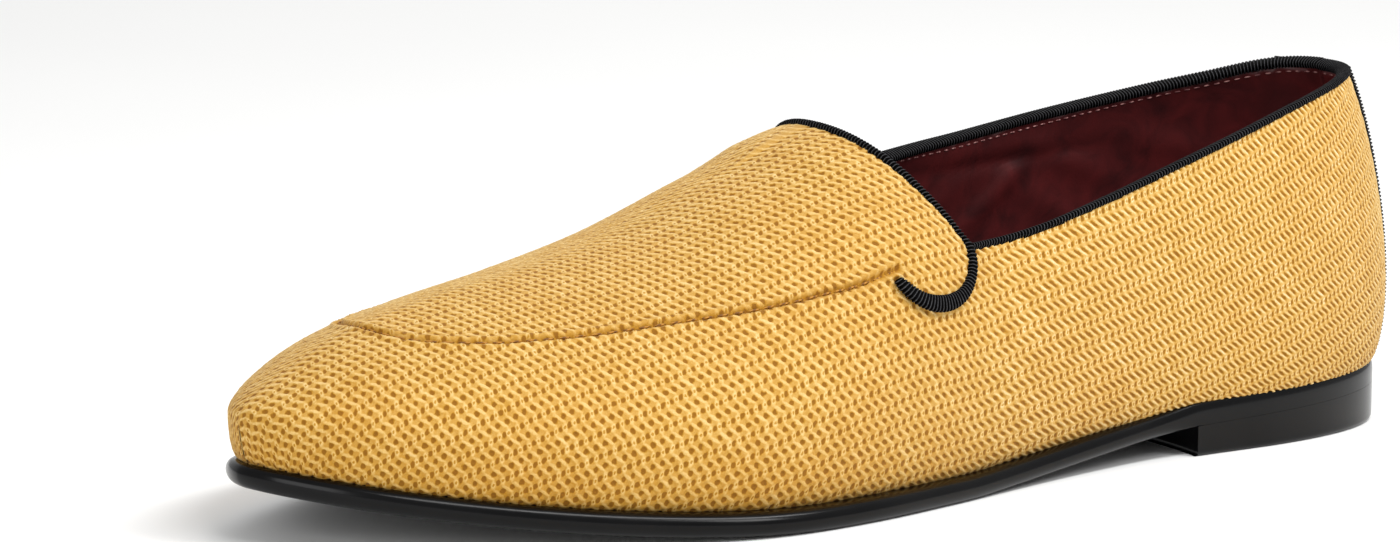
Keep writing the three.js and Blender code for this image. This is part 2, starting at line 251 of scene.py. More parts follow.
def eased_gain(rate: float, span: Span, run: np.ndarray, reach: float) -> np.ndarray:
    """Length gained along a run at a rate that eases in.

    Args:
        rate: Full rate, per unit of the run.
        span: Where on the run the rate starts and where it is full.
        run: Places on the run.
        reach: End of the run.

    Returns:
        Length gained up to each place.
    """
    steps = np.linspace(0, reach, CURVE_STEPS)
    return np.interp(run, steps, np.cumsum(rate * smoothstep(*span, steps)) * steps[1])


def unit(vectors: np.ndarray) -> np.ndarray:
    """Vectors brought to length one along the last axis."""
    return vectors / np.maximum(np.linalg.norm(vectors, axis=-1, keepdims=True), TINY)


def run_length(points: np.ndarray, axis: int) -> np.ndarray:
    """Distance run along one axis of an array of points.

    Args:
        points: Points on the last axis.
        axis: Axis to run along.

    Returns:
        Distance at each point, starting at zero.
    """
    steps = np.linalg.norm(np.diff(points, axis=axis), axis=-1)
    start = np.zeros_like(np.take(steps, [0], axis=axis))
    return np.concatenate((start, np.cumsum(steps, axis=axis)), axis=axis)


def sampled(wanted: np.ndarray | float, run: np.ndarray, values: np.ndarray) -> np.ndarray:
    """Rows of values at wanted places on a run that has one row at each of its stations."""
    return np.stack([np.interp(wanted, run, column) for column in values.T], -1)


def smoothed(values: np.ndarray, width: int) -> np.ndarray:
    """Average rows of values under a bell.

    Args:
        values: Rows to average with their neighbours.
        width: Width of the bell, an odd number of rows.

    Returns:
        As many averaged rows.
    """
    bell = np.hanning(width)
    padded = np.pad(values, ((width // 2, width // 2), (0, 0)), mode="edge")
    return np.stack([np.convolve(column, bell / bell.sum(), mode="valid") for column in padded.T], -1)


def any_corner(mask: np.ndarray) -> np.ndarray:
    """Whether any corner of each face of a grid is marked."""
    return mask[:-1, :-1] | mask[1:, :-1] | mask[:-1, 1:] | mask[1:, 1:]


def linear(hexcode: str) -> tuple[float, float, float, float]:
    """Linear colour from an sRGB hex value.

    Args:
        hexcode: Colour such as "d9a54a".

    Returns:
        Linear red, green, blue and an alpha of one.
    """
    parts = [int(hexcode[i:i + 2], 16) / 255 for i in (0, 2, 4)]
    flat = [c / 12.92 if c <= 0.04045 else ((c + 0.055) / 1.055) ** 2.4 for c in parts]
    return flat[0], flat[1], flat[2], 1.0


def scale_of(size_mm: float) -> float:
    """Scale of a texture whose details have a size in millimetres."""
    return 1 / (size_mm * MM)


@dataclass
class Last:
    """Form of the shoe: plan outline, profile and sections, shared with the solids."""

    # Ends of sole and upper, and the wall of the upper with its lining.
    sole_toe: float = 296.0
    sole_back: float = -2.5
    upper_toe: float = 295.6
    upper_back: float = -5.0
    wall: float = 2.0
    # Profile of the sole: spring under the toe, waist, and the seat over the heel.
    sole_thickness: float = 5.0
    toe_spring: float = 12.0
    toe_spring_start: float = 182.0
    heel_height: float = 6.8
    heel_rise: float = 2.3
    waist_start: float = 142.0
    waist_power: float = 1.3
    heel_breast: float = 70.0
    seat_gap: float = 0.3
    # Plan: rounding of heel and toe, swing of the toe, and the ridge that the ribs start from.
    heel_round_start: float = 54.0
    heel_round_power: float = 2.27
    toe_round_start: dict[Side, float] = field(
        default_factory=lambda: {Side.LATERAL: 188.0, Side.MEDIAL: 204.0})
    toe_fullness: float = 0.62
    toe_swing_start: float = 130.0
    toe_swing: float = -3.0
    ridge_shift: float = -2.0
    ridge_shift_start: float = 60.0
    ridge_shift_length: float = 100.0
    spine_heel: float = 0.16
    spine_toe: float = 0.8
    tuck_angle: float = math.radians(70)
    # Throat line in side view, and the apron's free corners with the end of their hooks.
    throat_x: float = 139.0
    throat_z: float = 53.0
    throat_slope: float = 21.5 / 37.0
    lobe_x: float = 151.0
    lobe_radius: float = 12.2
    lobe_spacing: float = 1.0
    lobe_top: Span = (3.0, 13.0)
    hook_end: float = math.radians(-22)
    origin: np.ndarray = field(default_factory=lambda: np.zeros(3))

    def seat_on_frame(self) -> None:
        """Find the last's origin in the part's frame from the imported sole."""
        low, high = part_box("outsole")
        t = np.linspace(0, 1, CURVE_STEPS)
        reach = [self.rib(t, side, on_sole=True)[1][:, 1] for side in Side]
        middle = (max(r.max() for r in reach) + min(r.min() for r in reach)) / 2
        self.origin = np.array([
            self.sole_toe - high.x / MM,
            middle - (low.y + high.y) / 2 / MM,
            0.0,
        ])

    def place(self, points: np.ndarray) -> np.ndarray:
        """Points of the last in metres in the part's frame."""
        return (points - self.origin) * MM

    def axis_y(self, x: np.ndarray) -> np.ndarray:
        """Middle line in plan, swinging inwards to the toe."""
        u = np.maximum(0, (x - self.toe_swing_start) / (self.sole_toe - self.toe_swing_start))
        return self.toe_swing * u * u

    def spine_y(self, x: np.ndarray) -> np.ndarray:
        """Ridge line in plan."""
        share = np.clip((x - self.ridge_shift_start) / self.ridge_shift_length, 0, 1)
        return self.axis_y(x) + self.ridge_shift * share

    def sole_under(self, x: np.ndarray) -> np.ndarray:
        """Height of the tread, with toe spring, waist and the slope of the heel seat.

        Args:
            x: Stations.

        Returns:
            Height at each station.
        """
        spring = np.maximum(0, (x - self.toe_spring_start) / (self.sole_toe - self.toe_spring_start))
        waist = np.clip((self.waist_start - x) / (self.waist_start - self.heel_breast), 0, 1)
        seat = np.clip((self.heel_breast - x) / (self.heel_breast - self.sole_back), 0, 1)
        return (self.toe_spring * spring * spring + self.heel_height * waist ** self.waist_power
                + self.heel_rise * seat)

    def sole_top(self, x: np.ndarray) -> np.ndarray:
        """Height of the sole's upper face."""
        return self.sole_under(x) + self.sole_thickness

    def belly_height(self, x: np.ndarray) -> np.ndarray:
        """Level at which the upper is widest."""
        return self.sole_top(x) + self.seat_gap + through(SECTIONS, "belly", x)

    def closure(self, x: np.ndarray, side: Side, back: float, toe: float) -> np.ndarray:
        """Rounding of the plan at the heel and the toe.

        Args:
            x: Stations.
            side: Half of the shoe.
            back: Station of the outline's back end.
            toe: Station of its front end.

        Returns:
            Share of the half width that is left.
        """
        start = self.toe_round_start[side]
        u = np.clip((self.heel_round_start - x) / (self.heel_round_start - back), 0, 1)
        v = np.clip((x - start) / (toe - start), 0, 1)
        heel = (1 - u ** self.heel_round_power) ** (1 / self.heel_round_power)
        return heel * (1 - v * v) ** self.toe_fullness

    def rib(self, t: np.ndarray, side: Side, offset: float = 0.0,
            on_sole: bool = False) -> tuple[np.ndarray, np.ndarray]:
        """Ends of the ribs in plan.

        Args:
            t: Place along the outline, 0 at the back and 1 at the toe.
            side: Half of the shoe.
            offset: Distance outwards from the upper's surface.
            on_sole: Whether the outline is the sole's.

        Returns:
            Points on the ridge and points on the outline.
        """
        back = self.sole_back if on_sole else self.upper_back - offset
        toe = self.sole_toe if on_sole else self.upper_toe + offset
        x = back + (toe - back) * (1 - np.cos(np.pi * t)) / 2
        beyond = 0 if on_sole else offset - through(SECTIONS, "margin", x)
        half = through(SECTIONS, side.column, x) + beyond
        share = self.spine_heel + (self.spine_toe - self.spine_heel) * (x - back) / (toe - back)
        spine_x = back + (toe - back) * share
        spine = np.stack((spine_x, self.spine_y(spine_x)), -1)
        edge_y = self.axis_y(x) + side.value * half * self.closure(x, side, back, toe)
        return spine, np.stack((x, edge_y), -1)

    def crown_points(self, t: np.ndarray, q: np.ndarray, side: Side, offset: float) -> np.ndarray:
        """Points of the upper above its belly.

        Args:
            t: Place along the outline, 0 at the back and 1 at the toe.
            q: Place on the rib, 0 on the ridge and 1 at the belly.
            side: Half of the shoe.
            offset: Distance outwards from the upper's surface.

        Returns:
            Points by rib and place on the rib.
        """
        spine, edge = self.rib(t, side, offset)
        plan = spine[:, None] + (edge - spine)[:, None] * q[None, :, None]
        belly = self.belly_height(edge[:, 0])[:, None]
        ridge = through(SECTIONS, "ridge", plan[..., 0]) + offset
        power = through(SECTIONS, "crown", plan[..., 0])
        rise = np.maximum(0, 1 - q[None] ** power) ** (1 / power)
        return np.concatenate((plan, (belly + (ridge - belly) * rise)[..., None]), -1)

    def tuck_points(self, t: np.ndarray, p: np.ndarray, side: Side, offset: float) -> np.ndarray:
        """Points of the upper below its belly, where it is drawn in to the sole.

        Args:
            t: Place along the outline, 0 at the back and 1 at the toe.
            p: Place on the rib, 0 at the belly and 1 at the sole.
            side: Half of the shoe.
            offset: Distance outwards from the upper's surface.

        Returns:
            Points by rib and place on the rib.
        """
        spine, edge = self.rib(t, side, offset)
        inward = unit(spine - edge)
        full = 1 - math.cos(self.tuck_angle)
        depth = through(SECTIONS, "tuck", edge[:, 0]) / full
        foot_x = edge[:, 0] + inward[:, 0] * depth * full
        draw = depth[:, None] * (1 - np.cos(p * self.tuck_angle))[None]
        plan = edge[:, None] + inward[:, None] * draw[..., None]
        belly = self.belly_height(edge[:, 0])[:, None]
        low = (self.sole_top(foot_x) + self.seat_gap)[:, None]
        drop = (np.sin(p * self.tuck_angle) / math.sin(self.tuck_angle))[None]
        return np.concatenate((plan, (belly + (low - belly) * drop)[..., None]), -1)

    def throat_at(self, z: np.ndarray | float) -> np.ndarray:
        """Station of the throat line at a height."""
        return self.throat_x + (np.asarray(z, float) - self.throat_z) * self.throat_slope

    def corner(self, side: Side) -> tuple[float, float]:
        """Station and height where the topline of a quarter meets the throat."""
        z = getattr(TOPLINES[-1], side.column)
        return float(self.throat_at(z)), z

    def topline(self, side: Side, x: np.ndarray) -> np.ndarray:
        """Height of the topline of a quarter."""
        return through(TOPLINES, side.column, np.minimum(x, self.corner(side)[0]))

    def in_opening(self, points: np.ndarray, side: Side, margin: float) -> np.ndarray:
        """Tell which points lie in the opening.

        Args:
            points: Points of the upper.
            side: Half of the shoe.
            margin: How far the opening is grown beyond its edge.

        Returns:
            Whether each point lies in it.
        """
        slant = math.hypot(1, self.throat_slope)
        above = points[..., 2] > self.topline(side, points[..., 0]) - margin
        return above & (points[..., 0] < self.throat_at(points[..., 2]) + margin * slant)

    def lobe_edge(self, side: Side, steps: int) -> np.ndarray:
        """Edge of the apron's free corner in side view, from the throat corner to the hook's end.

        Args:
            side: Half of the shoe.
            steps: Points on the round part.

        Returns:
            Station and height of each point.
        """
        angles = np.linspace(math.pi, 2 * math.pi + self.hook_end, steps)
        arc = np.stack((self.lobe_x + self.lobe_radius * np.cos(angles),
                        self.throat_z + self.lobe_radius * np.sin(angles)), -1)
        top = self.corner(side)[1]
        if top <= self.throat_z:
            return arc
        heights = np.arange(top, self.throat_z, -self.lobe_spacing)
        return np.concatenate((np.stack((self.throat_at(heights), heights), -1), arc))


@dataclass
class Surface:
    """One half of the upper's surface, sampled on ribs (first axis) and rings (second axis)."""

    last: Last
    side: Side
    offset: float = 0.0
    ribs: int = 700
    crown_rings: int = 110
    ring_power: float = 0.8
    tuck_rings: int = 26
    tuck_reach: float = 1.12
    # Rows of the cloth: how they climb on the quarters, and where quarter and vamp meet.
    row_slope: float = 0.16
    row_bend: float = 0.19
    bend_span: Span = (45.0, 100.0)
    vamp_from: float = 150.0
    vamp_blend: Span = (120.0, 200.0)
    # Least gain from ring to ring, so that rows never fold back.
    row_least: float = 1e-5
    # Steps between sections, finer where the blunt toe closes fast.
    section_step: float = 0.5
    blunt_toe: float = 5.0
    blunt_step: float = 0.01
    toe_fall: float = 0.03
    toe_fall_span: Span = (0.0, 20.0)
    probe: float = 0.4
    points: np.ndarray = field(init=False)
    normals: np.ndarray = field(init=False)

    def __post_init__(self) -> None:
        """Sample points and outward normals."""
        t = 1 - (1 - np.linspace(0, 1, self.ribs)) ** 2
        q = np.sin(np.linspace(0, math.pi / 2, self.crown_rings)) ** self.ring_power
        p = np.linspace(0, self.tuck_reach, self.tuck_rings)[1:]
        self.points = np.concatenate((
            self.last.crown_points(t, q, self.side, self.offset),
            self.last.tuck_points(t, p, self.side, self.offset)), axis=1)
        along = np.gradient(self.points, axis=0)
        down = np.gradient(self.points, axis=1)
        self.normals = unit(np.cross(along, down)) * self.side.value

    @property
    def belly(self) -> int:
        """Index of the ring at the widest level."""
        return self.crown_rings - 1

    @property
    def vamp_start(self) -> int:
        """Index of the rib from which the columns of the cloth are counted."""
        return int(np.argmax(self.points[:, self.belly, 0] > self.vamp_from))

    @property
    def crown(self) -> np.ndarray:
        """Points above the belly, by ring and rib."""
        return self.points[:, :self.crown_rings].swapaxes(0, 1)

    def girth(self) -> np.ndarray:
        """Measure across the sections, for cloth that lies along the shoe.

        Returns:
            Distance of each point from the ridge.
        """
        blunt = self.points[-1, 0, 0] - self.blunt_toe
        stations = np.concatenate((np.arange(self.points[0, 0, 0], blunt, self.section_step),
                                   np.arange(blunt, self.last.upper_toe, self.blunt_step)))
        front = self.points[-1, :self.crown_rings]
        centre = sampled(stations, front[:, 0], front[:, 1:])
        cuts = np.stack([np.where((stations > ring[-1, 0])[:, None], centre,
                                  sampled(stations, ring[:, 0], ring[:, 1:])) for ring in self.crown], 1)
        across = run_length(cuts, 1)
        crown = np.stack([np.interp(ring[:, 0], stations, across[:, j])
                          for j, ring in enumerate(self.crown)], 1)
        fall = run_length(self.points[:, self.belly:], 1)[:, 1:]
        wide = smoothstep(*self.toe_fall_span, crown[:, -1])[:, None]
        share = self.toe_fall + (1 - self.toe_fall) * wide
        return np.concatenate((crown, crown[:, -1:] + share * fall), 1)

    def row_distance(self) -> np.ndarray:
        """Measure across the rows of the cloth.

        Returns:
            Distance of each point: from the ridge on the vamp, and from leaning rows on the quarters.
        """
        front = self.girth()
        edge = self.points[:, self.belly]
        start = self.vamp_start
        behind = run_length(edge[:, :2], 0)
        behind = behind[start] - behind
        run = run_length(self.points, 1)
        up = run[:, -1:] - run
        foot = self.points[:, -1, 2]
        rise = self.row_slope * behind + eased_gain(self.row_bend, self.bend_span, behind, behind[0])
        rear = (front[start, -1] + rise - (foot - foot[start]))[:, None] - up
        blend = smoothstep(*self.vamp_blend, edge[:, 0])[:, None]
        rows = rear + (front - rear) * blend
        return np.maximum.accumulate(rows + self.row_least * np.arange(rows.shape[1]), axis=1)

    def at(self, x: float, z: float) -> tuple[np.ndarray, np.ndarray]:
        """Find the wall at a station and a height.

        Args:
            x: Station.
            z: Height.

        Returns:
            Point of the wall and its outward normal.
        """
        found = []
        for dx, dz in ((0.0, 0.0), (self.probe, 0.0), (0.0, self.probe)):
            section = np.array([sampled(x + dx, ring[:, 0], ring[:, 1:])
                                for ring in self.points.swapaxes(0, 1)])
            y = np.interp(-(z + dz), -section[:, 1], section[:, 0])
            found.append(np.array([x + dx, y, z + dz]))
        normal = unit(np.cross(found[1] - found[0], found[2] - found[0]))
        return found[0], normal * np.sign(normal[1]) * self.side.value

    def over(self, plan: np.ndarray) -> np.ndarray:
        """Find the point of this half above a point in plan.

        Args:
            plan: Station and breadth.

        Returns:
            The point on the surface.
        """
        rings = [ring for ring in self.crown if plan[0] <= ring[-1, 0]]
        section = np.array([sampled(plan[0], ring[:, 0], ring[:, 1:]) for ring in rings])
        reach = self.side.value * (section[:, 0] - plan[1])
        return np.array([plan[0], plan[1], np.interp(0, reach, section[:, 1])])

    @staticmethod
    def trace(lines: np.ndarray, normals: np.ndarray, level: Callable[[np.ndarray], np.ndarray],
              past: Callable[[np.ndarray], bool]) -> EdgePath:
        """Follow an edge of the opening over lines of points that cross it.

        Args:
            lines: Lines of points, each from the opening into the cloth.
            normals: Outward normals at the points.
            level: Number for each point of a line, above zero in the opening and below it on the cloth.
            past: Tells whether a point lies past the end of the edge.

        Returns:
            Points of the edge, outward normals and directions into the opening.
        """
        rows = []
        for line, outward in zip(lines, normals):
            levels = level(line)
            i = int(np.argmax(levels < 0))
            share = levels[i - 1] / (levels[i - 1] - levels[i])
            point = line[i - 1] + (line[i] - line[i - 1]) * share
            if past(point):
                break
            rows.append((point, outward[i], unit(line[i - 1] - line[i])))
        return tuple(np.array(column) for column in zip(*rows))

    def topline_path(self) -> EdgePath:
        """Follow the topline from the back to the throat.

        Returns:
            Points, outward normals and upward directions.
        """
        corner = self.last.corner(self.side)[0]
        return self.trace(self.points, self.normals,
                          lambda rib: rib[:, 2] - self.last.topline(self.side, rib[:, 0]),
                          lambda point: point[0] > corner)

    def throat_path(self) -> EdgePath:
        """Follow the throat edge from the ridge down to the corner.

        Returns:
            Points, outward normals and directions into the opening.
        """
        low = self.last.corner(self.side)[1]
        return self.trace(self.crown, self.normals.swapaxes(0, 1),
                          lambda ring: self.last.throat_at(ring[:, 2]) - ring[:, 0],
                          lambda point: point[2] < low)


@dataclass(frozen=True)
class Mark:
    """A hole darkened with painted shade (tone below zero) or a pale rim with a painted highlight (tone
    above zero) in the repeat of the weave.

    column and row are shares of the pitch and of the repeat, along and across are half sizes in mm, and
    upright is the share of the yarns' lean that the mark does not follow.
    """

    column: float
    row: float
    along: float
    across: float
    tone: float
    upright: float = 0.0


@dataclass(frozen=True)
class Weave:
    """Repeat of the open weave: a row of slanting slots, then a row of loops with round gaps.

    lean is the slant of the slots in pitches per repeat. A mark is full within core times its half size
    and gone beyond fade times it.
    """

    lean: float
    marks: tuple[Mark, ...]
    pitch: float = 2.05
    repeat: float = 4.5
    cloth_tone: float = 0.57
    core: float = 0.45
    fade: float = 1.22

    def axes(self, mark: Mark) -> tuple[Triple, Triple]:
        """Factors that turn a step in pitches and repeats into a mark's half sizes, along and across."""
        back = -2 * self.lean * self.pitch * mark.upright
        return (self.pitch / mark.along, back / mark.along, 0.0), (0.0, self.repeat / mark.across, 0.0)

    def relief(self, lattice: np.ndarray) -> np.ndarray:
        """Add up the marks.

        Args:
            lattice: Places in pitches and repeats.

        Returns:
            Tone over the cloth's own at each place.
        """
        total = np.zeros(lattice.shape[:-1])
        for mark in self.marks:
            step = (lattice[..., :2] - (mark.column, mark.row) + 0.5) % 1 - 0.5
            along, across = (step @ np.array(axis[:2]) for axis in self.axes(mark))
            total = total + mark.tone * (1 - smoothstep(self.core, self.fade, np.hypot(along, across)))
        return total


# Marks below zero are holes, darkened with painted shade; marks above zero are pale rims with painted
# highlights.
QUARTER = Weave(1.33, (
    Mark(0.0, 0.25, 0.42, 1.5, 0.3),
    Mark(0.5, 0.25, 0.6, 1.3, -0.56, 0.1),
    Mark(0.0, 0.75, 0.75, 0.75, 0.36),
    Mark(0.5, 0.75, 0.64, 0.72, -0.58),
    Mark(0.0, 0.75, 0.3, 0.4, -0.6),
))
VAMP = Weave(0.88, (
    Mark(0.0, 0.25, 0.5, 1.5, 0.3),
    Mark(0.5, 0.25, 0.62, 0.74, -0.58, 0.75),
    Mark(0.0, 0.75, 0.7, 1.0, 0.34),
    Mark(0.5, 0.75, 0.64, 0.68, -0.58),
    Mark(0.0, 0.75, 0.28, 0.38, -0.5),
), cloth_tone=0.47)


def add_node(tree: bpy.types.NodeTree, kind: str, settings: dict | None = None,
             inputs: dict | None = None, stops: Stops = ()) -> bpy.types.Node:
    """Add a node with its settings, values and links.

    Args:
        tree: Node tree of the material.
        kind: Node type, less the prefix that shader nodes share.
        settings: Attributes of the node.
        inputs: Values, output sockets, or nodes whose first output is linked, by input name or index.
        stops: Positions and sRGB hex colours of a colour ramp.

    Returns:
        The new node.
    """
    node = tree.nodes.new(f"ShaderNode{kind}")
    for name, value in (settings or {}).items():
        setattr(node, name, value)
    for name, value in (inputs or {}).items():
        source = value.outputs[0] if isinstance(value, bpy.types.Node) else value
        if isinstance(source, bpy.types.NodeSocket):
            tree.links.new(source, node.inputs[name])
        else:
            node.inputs[name].default_value = source
    while stops and len(node.color_ramp.elements) < len(stops):
        node.color_ramp.elements.new(1.0)
    for i, (position, colour) in enumerate(stops):
        node.color_ramp.elements[i].position = position
        node.color_ramp.elements[i].color = linear(colour)
    return node


@dataclass(frozen=True)
class Finish:
    """A finish: a named material on a principled shader."""

    name: str
    roughness: float = 0.5
    ior: float = 1.5
    sheen: float = 0.0

    def material(self) -> bpy.types.Material:
        """Make the material.

        Returns:
            The material with its colour, roughness and bump nodes.
        """
        made = bpy.data.materials.new(self.name)
        made.use_nodes = True
        tree = made.node_tree
        inputs = tree.nodes["Principled BSDF"].inputs
        inputs["Roughness"].default_value = self.roughness
        inputs["IOR"].default_value = self.ior
        inputs["Sheen Weight"].default_value = self.sheen
        place = add_node(tree, "TexCoord").outputs["Object"]
        for socket, source in self.dress(tree, place).items():
            tree.links.new(source, inputs[socket])
        return made

    def dress(self, tree: bpy.types.NodeTree, place: bpy.types.NodeSocket) -> Sockets:
        """Add the finish's own nodes.

        Args:
            tree: Node tree of the material.
            place: Socket of the Object coordinates.

        Returns:
            What drives the shader, by the name of its socket.
        """
        raise NotImplementedError


@dataclass(frozen=True)
class MustardWeave(Finish):
    """Twisted paper-and-cotton yarn in an open weave: matt, pale on the knuckles with painted
    highlights, brown in the holes with painted shade.
    """

    name: str = "mustard_open_weave"
    roughness: float = 0.8
    ior: float = 1.35
    sheen: float = 0.08
    # A fibre is finer than a pixel of the picture, so it is drawn this coarse to show.
    fibre_mm: float = 0.35
    fibre_share: float = 0.4
    pull_mm: float = 1.1
    pull: Triple = (0.3, 0.16, 0.0)
    level: float = 0.2
    trough_shade_tone: float = 0.0
    relief_mm: float = 0.3
    cloud_mm: float = 22.0
    # Yarn colours, from the shade painted in the holes to the highlights painted on the knuckles.
    yarn_stops: Stops = ((0.0, "8b5b06"), (0.2, "ad7b16"), (0.42, "bc8e3c"), (0.64, "cea75d"),
                         (0.86, "debf81"), (1.0, "eedab2"))
    cloud_stops: Stops = ((0.3, "fdf9f2"), (0.7, "ffffff"))

    def pattern(self, tree: bpy.types.NodeTree, lattice: bpy.types.Node, weave: Weave) -> bpy.types.Node:
        """Tone of a weave from its marks.

        Args:
            tree: Node tree of the material.
            lattice: Node of the place in the weave, in pitches and repeats.
            weave: The repeat.

        Returns:
            Node of the tone.
        """
        tone = weave.cloth_tone
        for mark in weave.marks:
            away = add_node(tree, "VectorMath", {"operation": "SUBTRACT"}, {
                0: lattice, 1: (mark.column, mark.row, 0)})
            step = add_node(tree, "VectorMath", {"operation": "WRAP"}, {
                0: away, 1: (0.5, 0.5, 0.5), 2: (-0.5, -0.5, -0.5)})
            along, across = (add_node(tree, "VectorMath", {"operation": "DOT_PRODUCT"}, {
                0: step, 1: axis}).outputs["Value"] for axis in weave.axes(mark))
            sized = add_node(tree, "CombineXYZ", inputs={0: along, 1: across})
            reach = add_node(tree, "VectorMath", {"operation": "LENGTH"}, {0: sized})
            share = add_node(tree, "MapRange", {"interpolation_type": "SMOOTHSTEP"}, {
                "Value": reach.outputs["Value"], "From Min": weave.core, "From Max": weave.fade,
                "To Min": mark.tone, "To Max": 0.0})
            tone = add_node(tree, "Math", {"operation": "ADD"}, {0: tone, 1: share})
        return tone

    def dress(self, tree: bpy.types.NodeTree, place: bpy.types.NodeSocket) -> Sockets:
        """Colour with painted highlights on the knuckles and painted shade in the holes of the weave,
        with fibres, uneven yarns, painted shade low on the cloth and in the seam's trough, and soft
        clouds of tone.

        Args:
            tree: Node tree of the material.
            place: Socket of the Object coordinates.

        Returns:
            What drives the shader, by the name of its socket.
        """
        even, uneven, trough = (add_node(tree, "Attribute", {"attribute_name": key}).outputs
                                for key in ("lattice", "uneven", "trough"))
        pull = add_node(tree, "TexNoise", inputs={
            "Vector": place, "Scale": scale_of(self.pull_mm), "Detail": 1.0})
        swing = add_node(tree, "VectorMath", {"operation": "MULTIPLY_ADD"}, {
            0: pull.outputs["Color"], 1: self.pull, 2: tuple(-p / 2 for p in self.pull)})
        lattice = add_node(tree, "VectorMath", {"operation": "ADD"}, {0: even["Vector"], 1: swing})
        stretch = add_node(tree, "SeparateXYZ", inputs={0: even["Vector"]}).outputs["Z"]
        weave = add_node(tree, "Mix", {"data_type": "FLOAT"}, {
            0: stretch, 2: self.pattern(tree, lattice, QUARTER), 3: self.pattern(tree, lattice, VAMP)})
        fibre = add_node(tree, "TexNoise", inputs={
            "Vector": place, "Scale": scale_of(self.fibre_mm), "Detail": 3.0, "Roughness": 0.6})
        spun = add_node(tree, "Math", {"operation": "ADD"}, {0: weave, 1: uneven["Fac"]})
        texture_and_painted_light = add_node(tree, "Math", {"operation": "MULTIPLY_ADD"}, {
            0: fibre, 1: self.fibre_share, 2: spun})
        level = add_node(tree, "Math", {"operation": "SUBTRACT"}, {0: texture_and_painted_light, 1: self.level})
        # Painted shade in the apron seam's trough.
        trough_shaded = add_node(tree, "Mix", {"data_type": "FLOAT"}, {
            0: trough["Fac"], 2: level, 3: self.trough_shade_tone})
        colour = add_node(tree, "ValToRGB", inputs={"Fac": trough_shaded}, stops=self.yarn_stops)
        cloud = add_node(tree, "TexNoise", inputs={
            "Vector": place, "Scale": scale_of(self.cloud_mm), "Detail": 2.0})
        tone = add_node(tree, "ValToRGB", inputs={"Fac": cloud}, stops=self.cloud_stops)
        mixed = add_node(tree, "Mix", {"data_type": "RGBA", "blend_type": "MULTIPLY"}, {
            0: 1.0, 6: colour, 7: tone})
        bump = add_node(tree, "Bump", inputs={
            "Strength": 0.5, "Distance": self.relief_mm * MM, "Height": texture_and_painted_light})
        return {"Base Color": mixed.outputs[2], "Normal": bump.outputs["Normal"]}


@dataclass(frozen=True)
class GrosgrainRibbon(Finish):
    """Woven rayon ribbon: black, with a faint silky gleam along its ribs painted on as lighter crests.
    """

    name: str = "black_grosgrain"
    roughness: float = 0.6
    ior: float = 1.1
    # Threads are finer than a pixel of the picture, so they are drawn this coarse to show.
    thread_mm: float = 0.3
    thread_share: float = 0.2
    level: float = 0.12
    relief_mm: float = 0.1
    # Ribbon colours, from the black grooves to the highlight painted on the rib crests.
    rib_stops: Stops = ((0.5, "000000"), (0.86, "050506"), (1.0, "4e4e50"))

    def dress(self, tree: bpy.types.NodeTree, place: bpy.types.NodeSocket) -> Sockets:
        """Black, with painted highlights on the rib crests and on threads here and there.

        Args:
            tree: Node tree of the material.
            place: Socket of the Object coordinates.

        Returns:
            What drives the shader, by the name of its socket.
        """
        thread = add_node(tree, "TexNoise", inputs={
            "Vector": place, "Scale": scale_of(self.thread_mm), "Detail": 2.0})
        rib = add_node(tree, "Attribute", {"attribute_name": "rib"}).outputs["Fac"]
        texture_and_painted_light = add_node(tree, "Math", {"operation": "MULTIPLY_ADD"}, {
            0: thread, 1: self.thread_share, 2: rib})
        level = add_node(tree, "Math", {"operation": "SUBTRACT"}, {0: texture_and_painted_light, 1: self.level})
        colour = add_node(tree, "ValToRGB", inputs={"Fac": level}, stops=self.rib_stops)
        bump = add_node(tree, "Bump", inputs={
            "Strength": 0.3, "Distance": self.relief_mm * MM, "Height": thread})
        return {"Base Color": colour.outputs["Color"], "Normal": bump.outputs["Normal"]}


@dataclass(frozen=True)
class SoleLeather(Finish):
    """Burnished sole leather: black, waxed to a soft shine that varies a little along the edge."""

    name: str = "burnished_sole_leather"
    roughness: float = 0.18
    ior: float = 1.27
    grain_mm: float = 0.8
    relief_mm: float = 0.08
    wax_mm: float = 14.0
    wax_swing: Span = (-0.06, 0.1)
    stops: Stops = ((0.3, "030304"), (0.8, "080809"))

    def dress(self, tree: bpy.types.NodeTree, place: bpy.types.NodeSocket) -> Sockets:
        """Black with fine grain and uneven wax.

        Args:
            tree: Node tree of the material.
            place: Socket of the Object coordinates.

        Returns:
            What drives the shader, by the name of its socket.
        """
        grain = add_node(tree, "TexNoise", inputs={
            "Vector": place, "Scale": scale_of(self.grain_mm), "Detail": 4.0})
        wax = add_node(tree, "TexNoise", inputs={
            "Vector": place, "Scale": scale_of(self.wax_mm), "Detail": 3.0})
        colour = add_node(tree, "ValToRGB", inputs={"Fac": wax}, stops=self.stops)
        least, most = (self.roughness + swing for swing in self.wax_swing)
        gloss = add_node(tree, "MapRange", inputs={"Value": wax, "To Min": least, "To Max": most})
        bump = add_node(tree, "Bump", inputs={
            "Strength": 0.12, "Distance": self.relief_mm * MM, "Height": grain})
        return {"Base Color": colour.outputs["Color"], "Roughness": gloss.outputs["Result"],
                "Normal": bump.outputs["Normal"]}


